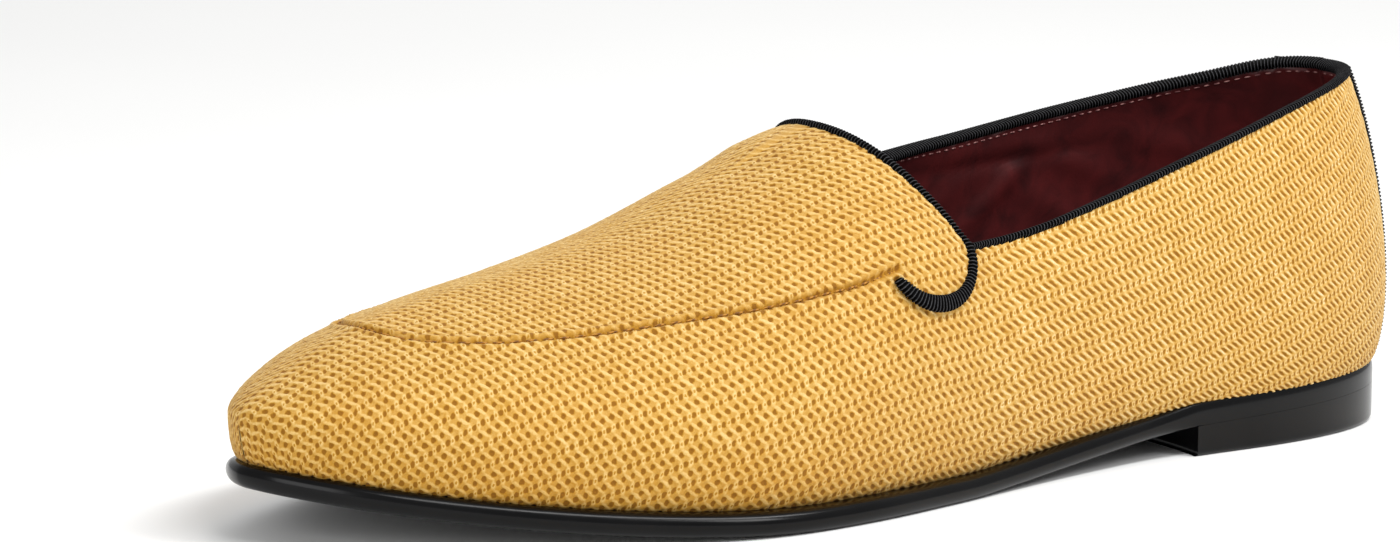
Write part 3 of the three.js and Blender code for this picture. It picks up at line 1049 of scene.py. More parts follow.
@dataclass(frozen=True)
class LiningLeather(Finish):
    """Aniline calf lining: burgundy, finely pored, with a mild sheen; its hollows are darkened with
    painted shade and its rises lightened with painted highlight.
    """

    name: str = "burgundy_calf_lining"
    roughness: float = 0.46
    ior: float = 1.42
    # Pores are finer than a pixel of the picture, so they are drawn this coarse to show.
    pore_mm: float = 0.7
    pore_depth_mm: float = 0.06
    crease_mm: float = 9.0
    crease_depth_mm: float = 0.6
    stops: Stops = ((0.25, "2e0c0e"), (0.75, "551819"))

    def dress(self, tree: bpy.types.NodeTree, place: bpy.types.NodeSocket) -> Sockets:
        """Burgundy with pores and shallow creases, painted darker in their hollows and lighter on their
        rises.

        Args:
            tree: Node tree of the material.
            place: Socket of the Object coordinates.

        Returns:
            What drives the shader, by the name of its socket.
        """
        pores = add_node(tree, "TexVoronoi", inputs={"Vector": place, "Scale": scale_of(self.pore_mm)})
        creases = add_node(tree, "TexNoise", inputs={
            "Vector": place, "Scale": scale_of(self.crease_mm), "Detail": 5.0, "Distortion": 0.8})
        # Painted shade in the hollows of the creases and painted highlight on their rises, from the
        # noise that bumps them.
        colour = add_node(tree, "ValToRGB", inputs={"Fac": creases}, stops=self.stops)
        fine = add_node(tree, "Bump", inputs={
            "Strength": 0.15, "Distance": self.pore_depth_mm * MM, "Height": pores.outputs["Distance"]})
        soft = add_node(tree, "Bump", inputs={
            "Strength": 0.25, "Distance": self.crease_depth_mm * MM, "Height": creases, "Normal": fine})
        return {"Base Color": colour.outputs["Color"], "Normal": soft.outputs["Normal"]}


@dataclass(frozen=True)
class StitchThread(Finish):
    """Waxed linen thread: its twist shows as fine diagonal bands."""

    name: str = "waxed_linen_thread"
    roughness: float = 0.6
    twist_mm: float = 0.5
    bands_per_scale: float = 0.3
    relief_mm: float = 0.08
    stops: Stops = ((0.2, "74480a"), (0.8, "b27a20"))

    def dress(self, tree: bpy.types.NodeTree, place: bpy.types.NodeSocket) -> Sockets:
        """Banded thread colour with a matching bump.

        Args:
            tree: Node tree of the material.
            place: Socket of the Object coordinates.

        Returns:
            What drives the shader, by the name of its socket.
        """
        twist = add_node(tree, "TexWave", {"bands_direction": "DIAGONAL"}, {
            "Vector": place, "Scale": self.bands_per_scale * scale_of(self.twist_mm), "Distortion": 1.5})
        colour = add_node(tree, "ValToRGB", inputs={"Fac": twist.outputs["Fac"]}, stops=self.stops)
        bump = add_node(tree, "Bump", inputs={
            "Strength": 0.4, "Distance": self.relief_mm * MM, "Height": twist.outputs["Fac"]})
        return {"Base Color": colour.outputs["Color"], "Normal": bump.outputs["Normal"]}


@dataclass(frozen=True)
class CottonThread(StitchThread):
    """Cotton thread of the lining: a dusty burgundy, paler than the leather that it holds."""

    name: str = "burgundy_cotton_thread"
    stops: Stops = ((0.2, "5a2a2c"), (0.8, "9a6a66"))


@dataclass(frozen=True)
class PaperFloor(Finish):
    """Seamless background paper: matt off-white."""

    name: str = "background_paper"
    roughness: float = 0.95
    tone_mm: float = 400.0
    stops: Stops = ((0.3, "fafaf9"), (0.7, "fdfdfc"))

    def dress(self, tree: bpy.types.NodeTree, place: bpy.types.NodeSocket) -> Sockets:
        """Almost even white.

        Args:
            tree: Node tree of the material.
            place: Socket of the Object coordinates.

        Returns:
            What drives the shader, by the name of its socket.
        """
        tone = add_node(tree, "TexNoise", inputs={"Vector": place, "Scale": scale_of(self.tone_mm)})
        colour = add_node(tree, "ValToRGB", inputs={"Fac": tone}, stops=self.stops)
        return {"Base Color": colour.outputs["Color"]}


def sheet_mesh(name: str, points: np.ndarray, facing: Facing,
               attributes: dict[str, np.ndarray] | None = None, keep: np.ndarray | None = None,
               wrap: bool = False, cap: bool = False) -> bpy.types.Mesh:
    """Shape a flat grid into a sheet or a tube.

    Args:
        name: Name of the mesh.
        points: Places in metres, by row and column.
        facing: Which way the faces are turned.
        attributes: Numbers to keep on the vertices, by row and column.
        keep: Which faces of the grid are kept, if not all.
        wrap: Whether edges that lie on each other are joined.
        cap: Whether open ends are closed.

    Returns:
        The mesh, with a UV map that follows rows and columns.
    """
    rows, columns = points.shape[0] - 1, points.shape[1] - 1
    shape = bmesh.new()
    bmesh.ops.create_grid(shape, x_segments=columns, y_segments=rows, size=0.5)
    bmesh.ops.translate(shape, verts=shape.verts, vec=(0.5, 0.5, 0))
    if keep is not None:
        centres = ((face, face.calc_center_median()) for face in shape.faces)
        dropped = [face for face, at in centres if not keep[int(at.y * rows), int(at.x * columns)]]
        bmesh.ops.delete(shape, geom=dropped, context="FACES")
    mesh = bpy.data.meshes.new(name)
    shape.to_mesh(mesh)
    shape.free()
    flat = np.empty(len(mesh.vertices) * 3, np.float32)
    mesh.vertices.foreach_get("co", flat)
    flat = flat.reshape(-1, 3)
    column = np.rint(flat[:, 0] * columns).astype(int)
    row = np.rint(flat[:, 1] * rows).astype(int)
    mesh.vertices.foreach_set("co", points[row, column].astype(np.float32).ravel())
    for key, values in (attributes or {}).items():
        kind, part = ("FLOAT_VECTOR", "vector") if values.ndim == 3 else ("FLOAT", "value")
        layer = mesh.attributes.new(key, kind, "POINT")
        layer.data.foreach_set(part, values[row, column].astype(np.float32).ravel())
    corners = np.empty(len(mesh.loops), np.int32)
    mesh.loops.foreach_get("vertex_index", corners)
    layout = mesh.uv_layers.new(name=UV_MAP)
    layout.data.foreach_set("uv", flat[corners][:, :2].ravel())
    work = bmesh.new()
    work.from_mesh(mesh)
    if facing is Facing.TURNED:
        bmesh.ops.reverse_faces(work, faces=work.faces)
    if wrap:
        bmesh.ops.remove_doubles(work, verts=work.verts, dist=MERGE_M)
    if cap:
        bmesh.ops.holes_fill(work, edges=work.edges)
    bmesh.ops.dissolve_degenerate(work, edges=work.edges, dist=SLIVER_M)
    if facing is Facing.OUTWARD:
        bmesh.ops.recalc_face_normals(work, faces=work.faces)
    work.to_mesh(mesh)
    work.free()
    mesh.update()
    return mesh


def add_piece(name: str, mesh: bpy.types.Mesh, material: bpy.types.Material,
              replaces: Sequence[str] = ()) -> bpy.types.Object:
    """Put a mesh into the scene as a piece of the shoe.

    Args:
        name: Name of the piece.
        mesh: Its mesh, in the part's frame.
        material: Its finish.
        replaces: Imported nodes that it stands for.

    Returns:
        The object, riding on the body.
    """
    mesh.materials.append(material)
    mesh.shade_smooth()
    piece = bpy.data.objects.new(name, mesh)
    bpy.context.scene.collection.objects.link(piece)
    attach(piece, BODY)
    if replaces:
        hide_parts(*replaces)
    LOG.info("%s: %d faces", name, len(mesh.polygons))
    return piece


@dataclass(frozen=True)
class StitchRow:
    """A row of stitches: length, gap and half thickness of the thread, and faces round and along it."""

    length: float = 2.7
    gap: float = 0.7
    half: float = 0.24
    around: int = 10
    rings: int = 6

    def sew(self, name: str, path: np.ndarray, thread: bpy.types.Material) -> None:
        """Sew along a path.

        Args:
            name: Name of the piece.
            path: Line of the stitches in metres.
            thread: Finish of the thread.
        """
        run = run_length(path, 0)
        length = self.length * MM
        size = Matrix.Diagonal((length / 2, self.half * MM, self.half * MM, 1))
        joined = bmesh.new()
        for place in np.arange(self.gap * MM, run[-1] - length, (self.length + self.gap) * MM):
            start, end = (Vector(sampled(at, run, path)) for at in (place, place + length))
            turn = (end - start).to_track_quat("X", "Z").to_matrix().to_4x4()
            bmesh.ops.create_uvsphere(joined, u_segments=self.around, v_segments=self.rings, radius=1,
                                      matrix=Matrix.Translation((start + end) / 2) @ turn @ size)
        mesh = bpy.data.meshes.new(name)
        joined.to_mesh(mesh)
        joined.free()
        add_piece(name, mesh, thread)


@dataclass
class Cloth:
    """The laid cloth on a grid of rows (inner sole edge to outer) and columns (heel to toe).

    inside tells where cloth lies on the last, opening where it lies over the shoe's opening.
    """

    points: np.ndarray
    normals: np.ndarray
    inside: np.ndarray
    opening: np.ndarray


@dataclass
class WovenUpper:
    """The cloth of the upper: one raised weave over vamp and quarters, with its apron seam."""

    last: Last
    surfaces: dict[Side, Surface]
    # Grid of rows and columns, and the rows at which the apron's field ends.
    pitch: float = QUARTER.pitch
    repeat: float = QUARTER.repeat
    pitch_samples: int = 5
    repeat_samples: int = 10
    row_reach: float = 140.0
    column_reach: float = 310.0
    split_row: float = 37.5
    edge_margin: float = 1.2
    # How the cloth lies: lean of its slots, gathers round the heel, stretch over the vamp.
    lean_span: Span = (-60.0, 100.0)
    gather_span: Span = (45.0, 100.0)
    gather: float = 0.31
    gather_least: float = 1.0
    stretch_span: Span = (118.0, 160.0)
    # Relief of the yarns and how uneven they are.
    relief: float = 0.4
    relief_level: float = 0.25
    yarn_height: float = 0.06
    yarn_tone: float = 0.03
    fuzz: float = 0.025
    # Free corners of the apron.
    lobe_rise: float = 0.8
    lobe_fade: Span = (160.0, 178.0)
    # Apron seam: its tip and the station of the ridge there, where its halves turn alike, its trough,
    # whose colour is also darkened with painted shade.
    seam_tip: float = 267.2
    seam_ridge: float = 267.0
    seam_even: Span = (225.0, 260.0)
    seam_samples: int = 240
    seam_bell: int = 13
    seam_near: float = 8.0
    seam_far: float = 99.0
    seam_depth: float = 1.0
    seam_half: float = 0.65
    seam_roll: float = 0.45
    seam_flat: float = 0.75
    stitch_sink: float = 0.25
    # Painted shade: the cloth is darker towards the sole, where less light reaches it.
    low_shade_tone: float = 0.18
    low_shade_height: float = 9.0
    low_shade_span: Span = (110.0, 220.0)
    soil_back: float = 0.3

    @property
    def row_step(self) -> float:
        """Distance between two rows of points."""
        return self.repeat / self.repeat_samples

    @property
    def column_step(self) -> float:
        """Distance between two columns of points."""
        return self.pitch / self.pitch_samples

    def seam_path(self) -> np.ndarray:
        """Lay the apron seam on the surface.

        Returns:
            Points from the outer hook round the toe to the inner one, mirrored on the inner half.
        """
        x = np.array([p.x for p in SEAM])
        y = np.array([p.y for p in SEAM])
        spine = self.last.spine_y(x)
        ratio = through(SECTIONS, "medial", x) / through(SECTIONS, "lateral", x)
        ratio = ratio + (1 - ratio) * smoothstep(*self.seam_even, x)
        inner = spine - (y - spine) * ratio
        tip = np.array([[self.seam_tip, float(self.last.spine_y(self.seam_ridge))]])
        plan = np.concatenate((np.stack((x, y), -1), tip, np.stack((x, inner), -1)[::-1]))
        knots = run_length(plan, 0)
        fine = np.linspace(0, knots[-1], self.seam_samples)
        plan = smoothed(sampled(fine, knots, plan), self.seam_bell)
        outer = plan[:, 1] > self.last.spine_y(plan[:, 0])
        return np.array([self.surfaces[Side.LATERAL if lateral else Side.MEDIAL].over(point)
                         for point, lateral in zip(plan, outer)])

    def lay_rows(self) -> Cloth:
        """Lay the rows of the cloth over both halves of the last.

        Returns:
            The laid cloth.
        """
        count = int(self.row_reach / self.row_step)
        reach = int(self.column_reach / self.column_step)
        shape = (2 * count + 1, 2 * reach)
        cloth = Cloth(np.zeros(shape + (3,)), np.zeros(shape + (3,)), np.zeros(shape, bool),
                      np.ones(shape, bool))
        distances = np.arange(count + 1) * self.row_step
        columns = np.arange(-reach, reach) * self.column_step
        for surface in self.surfaces.values():
            self.lay_half(cloth, surface, distances, columns)
        cloth.normals = unit(cloth.normals)
        return cloth

    def lay_half(self, cloth: Cloth, surface: Surface, distances: np.ndarray,
                 columns: np.ndarray) -> None:
        """Lay the rows of one half, from the ridge to the sole.

        Args:
            cloth: Cloth that takes the points.
            surface: The half of the upper.
            distances: Distance of each row from the ridge.
            columns: Length of cloth from the vamp's first rib to each column.
        """
        ribs, start, sign = surface.ribs, surface.vamp_start, surface.side.value
        rows = surface.row_distance()
        sheet = np.concatenate((surface.points, surface.normals), -1)
        lines = np.stack([sampled(distances, rows[i], sheet[i]) for i in range(ribs)])
        centre = np.concatenate((sheet[:, 0], sheet[-1, 1:]))
        hold = np.full(len(columns), float(start))
        for k, distance in enumerate(distances):
            index = len(distances) - 1 + sign * k
            line = lines[:, k] if k else centre
            run = run_length(line[:, :3], 0)
            run = self.gathered(run - run[start])
            run = run + self.lean(run) * self.pitch * self.turns(sign * distance)
            stations = np.arange(len(line), dtype=float)
            place = np.interp(columns, run, stations)
            covered = np.interp(place, stations[:ribs], rows[:, -1]) > distance
            covered |= k == 0
            hold = np.where(covered, np.minimum(place, ribs - 1), hold)
            laid = sampled(place, stations, line)
            foot = sampled(hold, stations[:ribs], sheet[:, -1])
            laid = np.where(covered[:, None], laid, foot)
            cloth.points[index] = laid[:, :3]
            cloth.normals[index] = laid[:, 3:]
            cloth.inside[index] = covered & (columns > run[0]) & (columns < run[-1])
            cloth.opening[index] = self.last.in_opening(laid[:, :3], surface.side, self.edge_margin)

    def gathered(self, run: np.ndarray) -> np.ndarray:
        """Length of cloth that lies along a row, which is gathered round the heel."""
        return run - eased_gain(self.gather, self.gather_span, -run, max(self.gather_least, -run[0]))

    def turns(self, distance: float) -> float:
        """Count the rows of slots crossed on the way across the rows.

        Args:
            distance: Distance from the ridge, below zero on the inner half.

        Returns:
            Rows crossed; the loops between them do not slant.
        """
        turns = distance / self.repeat
        whole = math.floor(turns)
        return whole + min(1.0, (turns - whole) * 2)

    def lean(self, run: np.ndarray) -> np.ndarray:
        """Lean of the slots in pitches per repeat: steep on the quarters, less on the stretched vamp."""
        return QUARTER.lean + (VAMP.lean - QUARTER.lean) * smoothstep(*self.lean_span, run)

    def lattice(self, cloth: Cloth) -> np.ndarray:
        """Tell each point its place in the weave.

        Args:
            cloth: The laid cloth.

        Returns:
            Place in pitches and in repeats, and how far the cloth is stretched as on the vamp.
        """
        rows, columns = cloth.inside.shape
        across = (np.arange(rows) - rows // 2)[:, None] * self.row_step / self.repeat
        along = np.arange(columns)[None] / self.pitch_samples - 0.5
        stretch = smoothstep(*self.stretch_span, cloth.points[..., 0])
        return np.stack(np.broadcast_arrays(along, across, stretch), -1)

    def yarn_chance(self, lattice: np.ndarray) -> tuple[np.ndarray, np.ndarray]:
        """Draw the unevenness of the yarns.

        Args:
            lattice: Places in the weave.

        Returns:
            One draw for each yarn of a repeat, spread over its points, and one for each point.
        """
        chance = np.random.default_rng(SEED)
        columns = lattice.shape[1]
        repeat = np.floor(lattice[:, :1, 1]).astype(int)
        repeat = repeat - repeat.min()
        yarn = chance.normal(0, 1, (repeat.max() + 1, columns // self.pitch_samples + 1))
        fuzz = chance.normal(0, 1, lattice.shape[:-1])
        return yarn[repeat, np.arange(columns)[None] // self.pitch_samples], fuzz

    def lobe_step(self, points: np.ndarray) -> np.ndarray:
        """Raise the apron's free corners over the quarters.

        Args:
            points: Points of the cloth.

        Returns:
            Rise at each point.
        """
        last = self.last
        x, z = points[..., 0], points[..., 2]
        outer = points[..., 1] > last.spine_y(x)
        low = np.where(outer, last.corner(Side.LATERAL)[1], last.corner(Side.MEDIAL)[1])
        inside = np.hypot(x - last.lobe_x, z - last.throat_z) < last.lobe_radius
        inside |= (z > last.throat_z) & (x > last.throat_at(z))
        inside |= (x > last.lobe_x) & (z > last.throat_z + last.lobe_radius * math.sin(last.hook_end))
        fade = np.maximum(smoothstep(*self.lobe_fade, x), smoothstep(*last.lobe_top, z - low))
        return np.where(inside, self.lobe_rise * (1 - fade), 0)

    def painted_low_shade(self, points: np.ndarray) -> np.ndarray:
        """Paint shade on the cloth towards the sole, most of all round the toe.

        Args:
            points: Points of the cloth.

        Returns:
            Tone lost at each point.
        """
        rise = np.maximum(0, points[..., 2] - self.last.sole_top(points[..., 0]))
        share = self.soil_back + (1 - self.soil_back) * smoothstep(*self.low_shade_span, points[..., 0])
        return self.low_shade_tone * share * np.exp(-rise / self.low_shade_height)

    def seam_distance(self, points: np.ndarray, path: np.ndarray) -> np.ndarray:
        """Measure from the apron seam.

        Args:
            points: Points of the cloth.
            path: The seam.

        Returns:
            Distance of each point, or seam_far where it is well away.
        """
        near = np.full(points.shape[:-1], self.seam_far)
        box = points[..., 0] > path[:, 0].min() - self.seam_near
        box &= points[..., 2] > path[:, 2].min() - self.seam_near
        best = near[box]
        for point in path:
            best = np.minimum(best, np.linalg.norm(points[box] - point, axis=-1))
        near[box] = best
        return near

    def build(self, weave: bpy.types.Material, thread: bpy.types.Material) -> None:
        """Make the three fields of cloth and the seam's stitches.

        Args:
            weave: Finish of the cloth.
            thread: Finish of the stitches.
        """
        cloth = self.lay_rows()
        path = self.seam_path()
        lattice = self.lattice(cloth)
        stretch = lattice[..., 2]
        yarn, fuzz = self.yarn_chance(lattice)
        height = QUARTER.relief(lattice) * (1 - stretch) + VAMP.relief(lattice) * stretch
        height = self.relief * height - self.relief * self.relief_level
        height = height * (1 + self.yarn_height * yarn) + self.fuzz * fuzz
        seam = self.seam_distance(cloth.points, path)
        # The trough sinks the cloth and also darkens its colour with painted shade.
        trough = np.exp(-(seam / self.seam_half) ** 2)
        roll = np.exp(-((seam - 2 * self.seam_half) / self.seam_half) ** 2)
        offset = height * (1 - self.seam_flat * trough) - self.seam_depth * trough
        offset = offset + self.seam_roll * roll + self.lobe_step(cloth.points)
        points = self.last.place(cloth.points + cloth.normals * offset[..., None])
        # Uneven tone: a random draw for each yarn, less the shade painted towards the sole.
        uneven = self.yarn_tone * yarn - self.painted_low_shade(cloth.points)
        marks = {"lattice": lattice, "uneven": uneven, "trough": trough}
        rows = len(points)
        split = int(self.split_row / self.row_step)
        inner, outer = rows // 2 - split, rows // 2 + split
        fields = {"upper_inner_side": slice(0, inner + 1), "upper_apron": slice(inner, outer + 1),
                  "upper_outer_side": slice(outer, rows)}
        for name, part in fields.items():
            self.make_field(name, part, cloth, points, marks, weave)
        sunk = path - np.array([0, 0, self.stitch_sink])
        StitchRow().sew("apron_stitches", self.last.place(sunk), thread)

    @staticmethod
    def make_field(name: str, part: slice, cloth: Cloth, points: np.ndarray,
                   marks: dict[str, np.ndarray], weave: bpy.types.Material) -> None:
        """Make one field of the cloth from a band of its rows.

        Args:
            name: Name of the piece.
            part: Rows of this field.
            cloth: The laid cloth.
            points: Raised points of all the cloth, in metres.
            marks: Numbers for the finish at all points.
            weave: Finish of the cloth.
        """
        inside, opening = cloth.inside[part], cloth.opening[part]
        used = np.flatnonzero((inside & ~opening).any(0))
        band = slice(max(used[0] - 1, 0), used[-1] + 2)
        keep = any_corner(inside[:, band]) & ~any_corner(opening[:, band])
        shown = {key: values[part, band] for key, values in marks.items()}
        mesh = sheet_mesh(name, points[part, band], Facing.TURNED, shown, keep)
        add_piece(name, mesh, weave, ("upper",))


@dataclass(frozen=True)
class Band:
    """Course of a ribbon along a path on the surface.

    ups point across the band, low and high are its inner and outer face along the normals, and
    inner_drop is how much further down the inner face reaches, as a share of the half width.
    """

    path: np.ndarray
    normals: np.ndarray
    ups: np.ndarray
    half: np.ndarray
    low: np.ndarray
    high: np.ndarray
    inner_drop: float = 0.0


@dataclass
class Ribbons:
    """Grosgrain that binds the topline, the throat with its hooks, and the back seam."""

    last: Last
    surfaces: dict[Side, Surface]
    # Ribs, and the rounded cross-section of a binding.
    rib_pitch: float = 0.85
    rib_samples: int = 6
    rib_depth: float = 0.28
    rib_power: float = 0.7
    rib_level: float = 0.7
    around: int = 16
    square: float = 0.72
    # Collar binding: width outside, seat on the edge, reach inside, height over the cloth.
    collar_out: float = 1.45
    collar_seat: float = 0.9
    collar_in: float = 0.55
    collar_proud: float = 0.7
    collar_drop: float = 0.8
    # Throat binding and the hooks that it runs out to.
    lobe_rise: float = 0.6
    lobe_samples: int = 60
    throat_back: float = 0.8
    throat_in: float = 0.5
    throat_proud: float = 0.8
    hook_seat: float = 0.1
    hook_proud: float = 1.1
    hook_bell: int = 15
    # Back strip: half width, turned edges, thickness, and its top under the collar binding.
    strip_half: float = 13.2
    strip_columns: int = 14
    strip_edge: float = 0.15
    strip_thickness: float = 0.75
    strip_top: float = 1.2
    strip_station: float = 6.0
    strip_tuck: float = -0.3
    strip_ease: float = 0.95

    def crest(self, run: np.ndarray) -> np.ndarray:
        """Place on the ribs along a run: 0 between two ribs and 1 on top of one, as a column."""
        return np.abs(np.sin(math.pi * run / self.rib_pitch))[:, None]

    def rib_run(self, first: float, final: float) -> np.ndarray:
        """Places along a ribbon that catch every rib."""
        count = int((final - first) / self.rib_pitch) * self.rib_samples
        return np.linspace(first, final, count + 1)

    def sweep(self, name: str, band: Band, ribbon: bpy.types.Material, replaces: Sequence[str]) -> None:
        """Make a ribbed band along a path.

        Args:
            name: Name of the piece.
            band: Course of the ribbon.
            ribbon: Finish of the ribbon.
            replaces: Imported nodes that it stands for.
        """
        run = run_length(band.path, 0)
        fine = self.rib_run(0, run[-1])
        centre, out, up = (sampled(fine, run, values) for values in (band.path, band.normals, band.ups))
        out, up = unit(out), unit(up)
        half, low, high = (np.interp(fine, run, values)[:, None]
                           for values in (band.half, band.low, band.high))
        crest = self.crest(fine)
        rib = 1 + self.rib_depth * (crest ** self.rib_power - self.rib_level)
        angle = np.linspace(0, 2 * math.pi, self.around + 1)[None]
        across, over = (np.sign(turn) * np.abs(turn) ** self.square
                        for turn in (np.cos(angle), np.sin(angle)))
        side = across * half * rib
        lift = over * (high - low) / 2 * rib + (high + low) / 2
        depth = np.clip((high - lift) / (high - low), 0, 1)
        side = np.where(side < 0, side * (1 + band.inner_drop * depth), side)
        points = centre[:, None] + up[:, None] * side[..., None] + out[:, None] * lift[..., None]
        mesh = sheet_mesh(name, self.last.place(points), Facing.OUTWARD,
                          {"rib": crest + np.zeros_like(angle)}, wrap=True, cap=True)
        add_piece(name, mesh, ribbon, replaces)

    def collar(self, ribbon: bpy.types.Material) -> None:
        """Bind the topline of both quarters, round the back.

        Args:
            ribbon: Finish of the ribbon.
        """
        outer, inner = (self.surfaces[side].topline_path() for side in Side)
        path, normals, ups = (np.concatenate((a[::-1], b[1:])) for a, b in zip(outer, inner))
        half = self.collar_out / 2
        even = np.ones(len(path))
        self.sweep("collar_ribbon", Band(
            path - ups * half * self.collar_seat, normals, ups, even * half,
            even * (-self.last.wall - self.collar_in), even * self.collar_proud, self.collar_drop,
        ), ribbon, ("collar_binding",))

    def throat_half(self, side: Side) -> tuple[np.ndarray, np.ndarray, np.ndarray, np.ndarray]:
        """Follow the throat from the ridge and on round the free corner to the hook's end.

        Args:
            side: Half of the shoe.

        Returns:
            Points, outward normals, directions across, and 1 on the hook or 0 on the throat.
        """
        surface = self.surfaces[side]
        path, normals, ups = surface.throat_path()
        found = [surface.at(x, z) for x, z in self.last.lobe_edge(side, self.lobe_samples)[1:]]
        lobe, lobe_normals = (np.array(column) for column in zip(*found))
        along = unit(np.gradient(lobe, axis=0))
        lobe_ups = unit(np.cross(lobe_normals, along)) * side.value
        lobe_ups = lobe_ups * np.sign(np.sum(lobe_ups[0] * ups[-1]))
        hook = np.concatenate((np.zeros(len(path)), np.ones(len(lobe))))
        pairs = ((path, lobe), (normals, lobe_normals), (ups, lobe_ups))
        return *(np.concatenate(pair) for pair in pairs), hook

    def throat(self, ribbon: bpy.types.Material) -> None:
        """Bind the throat and run on round both free corners to the hooks.

        Args:
            ribbon: Finish of the ribbon.
        """
        outer, inner = (self.throat_half(side) for side in Side)
        path, normals, ups, hook = (np.concatenate((a[::-1], b[1:])) for a, b in zip(outer, inner))
        ease = smoothed(hook[:, None], self.hook_bell)[:, 0]
        run = run_length(path, 0)
        to_end = np.minimum(run, run[-1] - run)
        half = through(HOOK, "half", to_end)
        top = smoothstep(*self.last.lobe_top, path[:, 2] - self.last.throat_z)
        lift = self.lobe_rise * (1 - top) * (1 - ease)
        inwards = self.last.wall + self.throat_in
        shift = half - through(HOOK, "beyond", to_end) + self.throat_back * (1 - ease)
        self.sweep("throat_ribbon", Band(
            path - ups * shift[:, None], normals, ups, half, (inwards + self.hook_seat) * ease - inwards,
            self.throat_proud + self.hook_proud * ease + lift,
        ), ribbon, ("throat_binding",))

    def back(self, ribbon: bpy.types.Material) -> None:
        """Cover the back seam from the topline to the sole.

        Args:
            ribbon: Finish of the ribbon.
        """
        spread = np.linspace(-self.strip_half, self.strip_half, self.strip_columns - 1)
        spread = np.concatenate((spread[:1] - self.strip_edge, spread, spread[-1:] + self.strip_edge))
        middle = self.strip_columns // 2
        strips = []
        for side, wanted in ((Side.MEDIAL, -spread[:middle]), (Side.LATERAL, spread[middle:])):
            surface = self.surfaces[side]
            sheet = np.concatenate((surface.points, surface.normals), -1)
            run = run_length(surface.points, 0)
            strips.append(np.stack([sampled(wanted, run[:, j], sheet[:, j])
                                    for j in range(run.shape[1])]))
        strip = np.concatenate(strips, 1)
        strip[..., 3:] = unit(strip[..., 3:])
        length = run_length(strip[:, middle, :3], 0)
        top = float(self.last.topline(Side.LATERAL, self.strip_station)) - self.strip_top
        fine = self.rib_run(np.interp(-top, -strip[:, middle, 2], length), length[-1])
        laid = np.stack([sampled(fine, length, column) for column in strip.swapaxes(0, 1)], 1)
        crest = self.crest(fine)
        edge = np.ones(len(spread))
        edge[[0, -1]] = self.strip_tuck
        edge[[1, -2]] = self.strip_ease
        lift = (self.strip_thickness + self.rib_depth * (2 * crest - 1)) * edge[None]
        points = laid[..., :3] + unit(laid[..., 3:]) * lift[..., None]
        mesh = sheet_mesh("back_ribbon", self.last.place(points), Facing.TURNED,
                          {"rib": crest + np.zeros_like(edge)})
        add_piece("back_ribbon", mesh, ribbon, ("back_strip",))

    def build(self, ribbon: bpy.types.Material) -> None:
        """Make all ribbons.

        Args:
            ribbon: Finish of the ribbons.
        """
        self.collar(ribbon)
        self.throat(ribbon)
        self.back(ribbon)


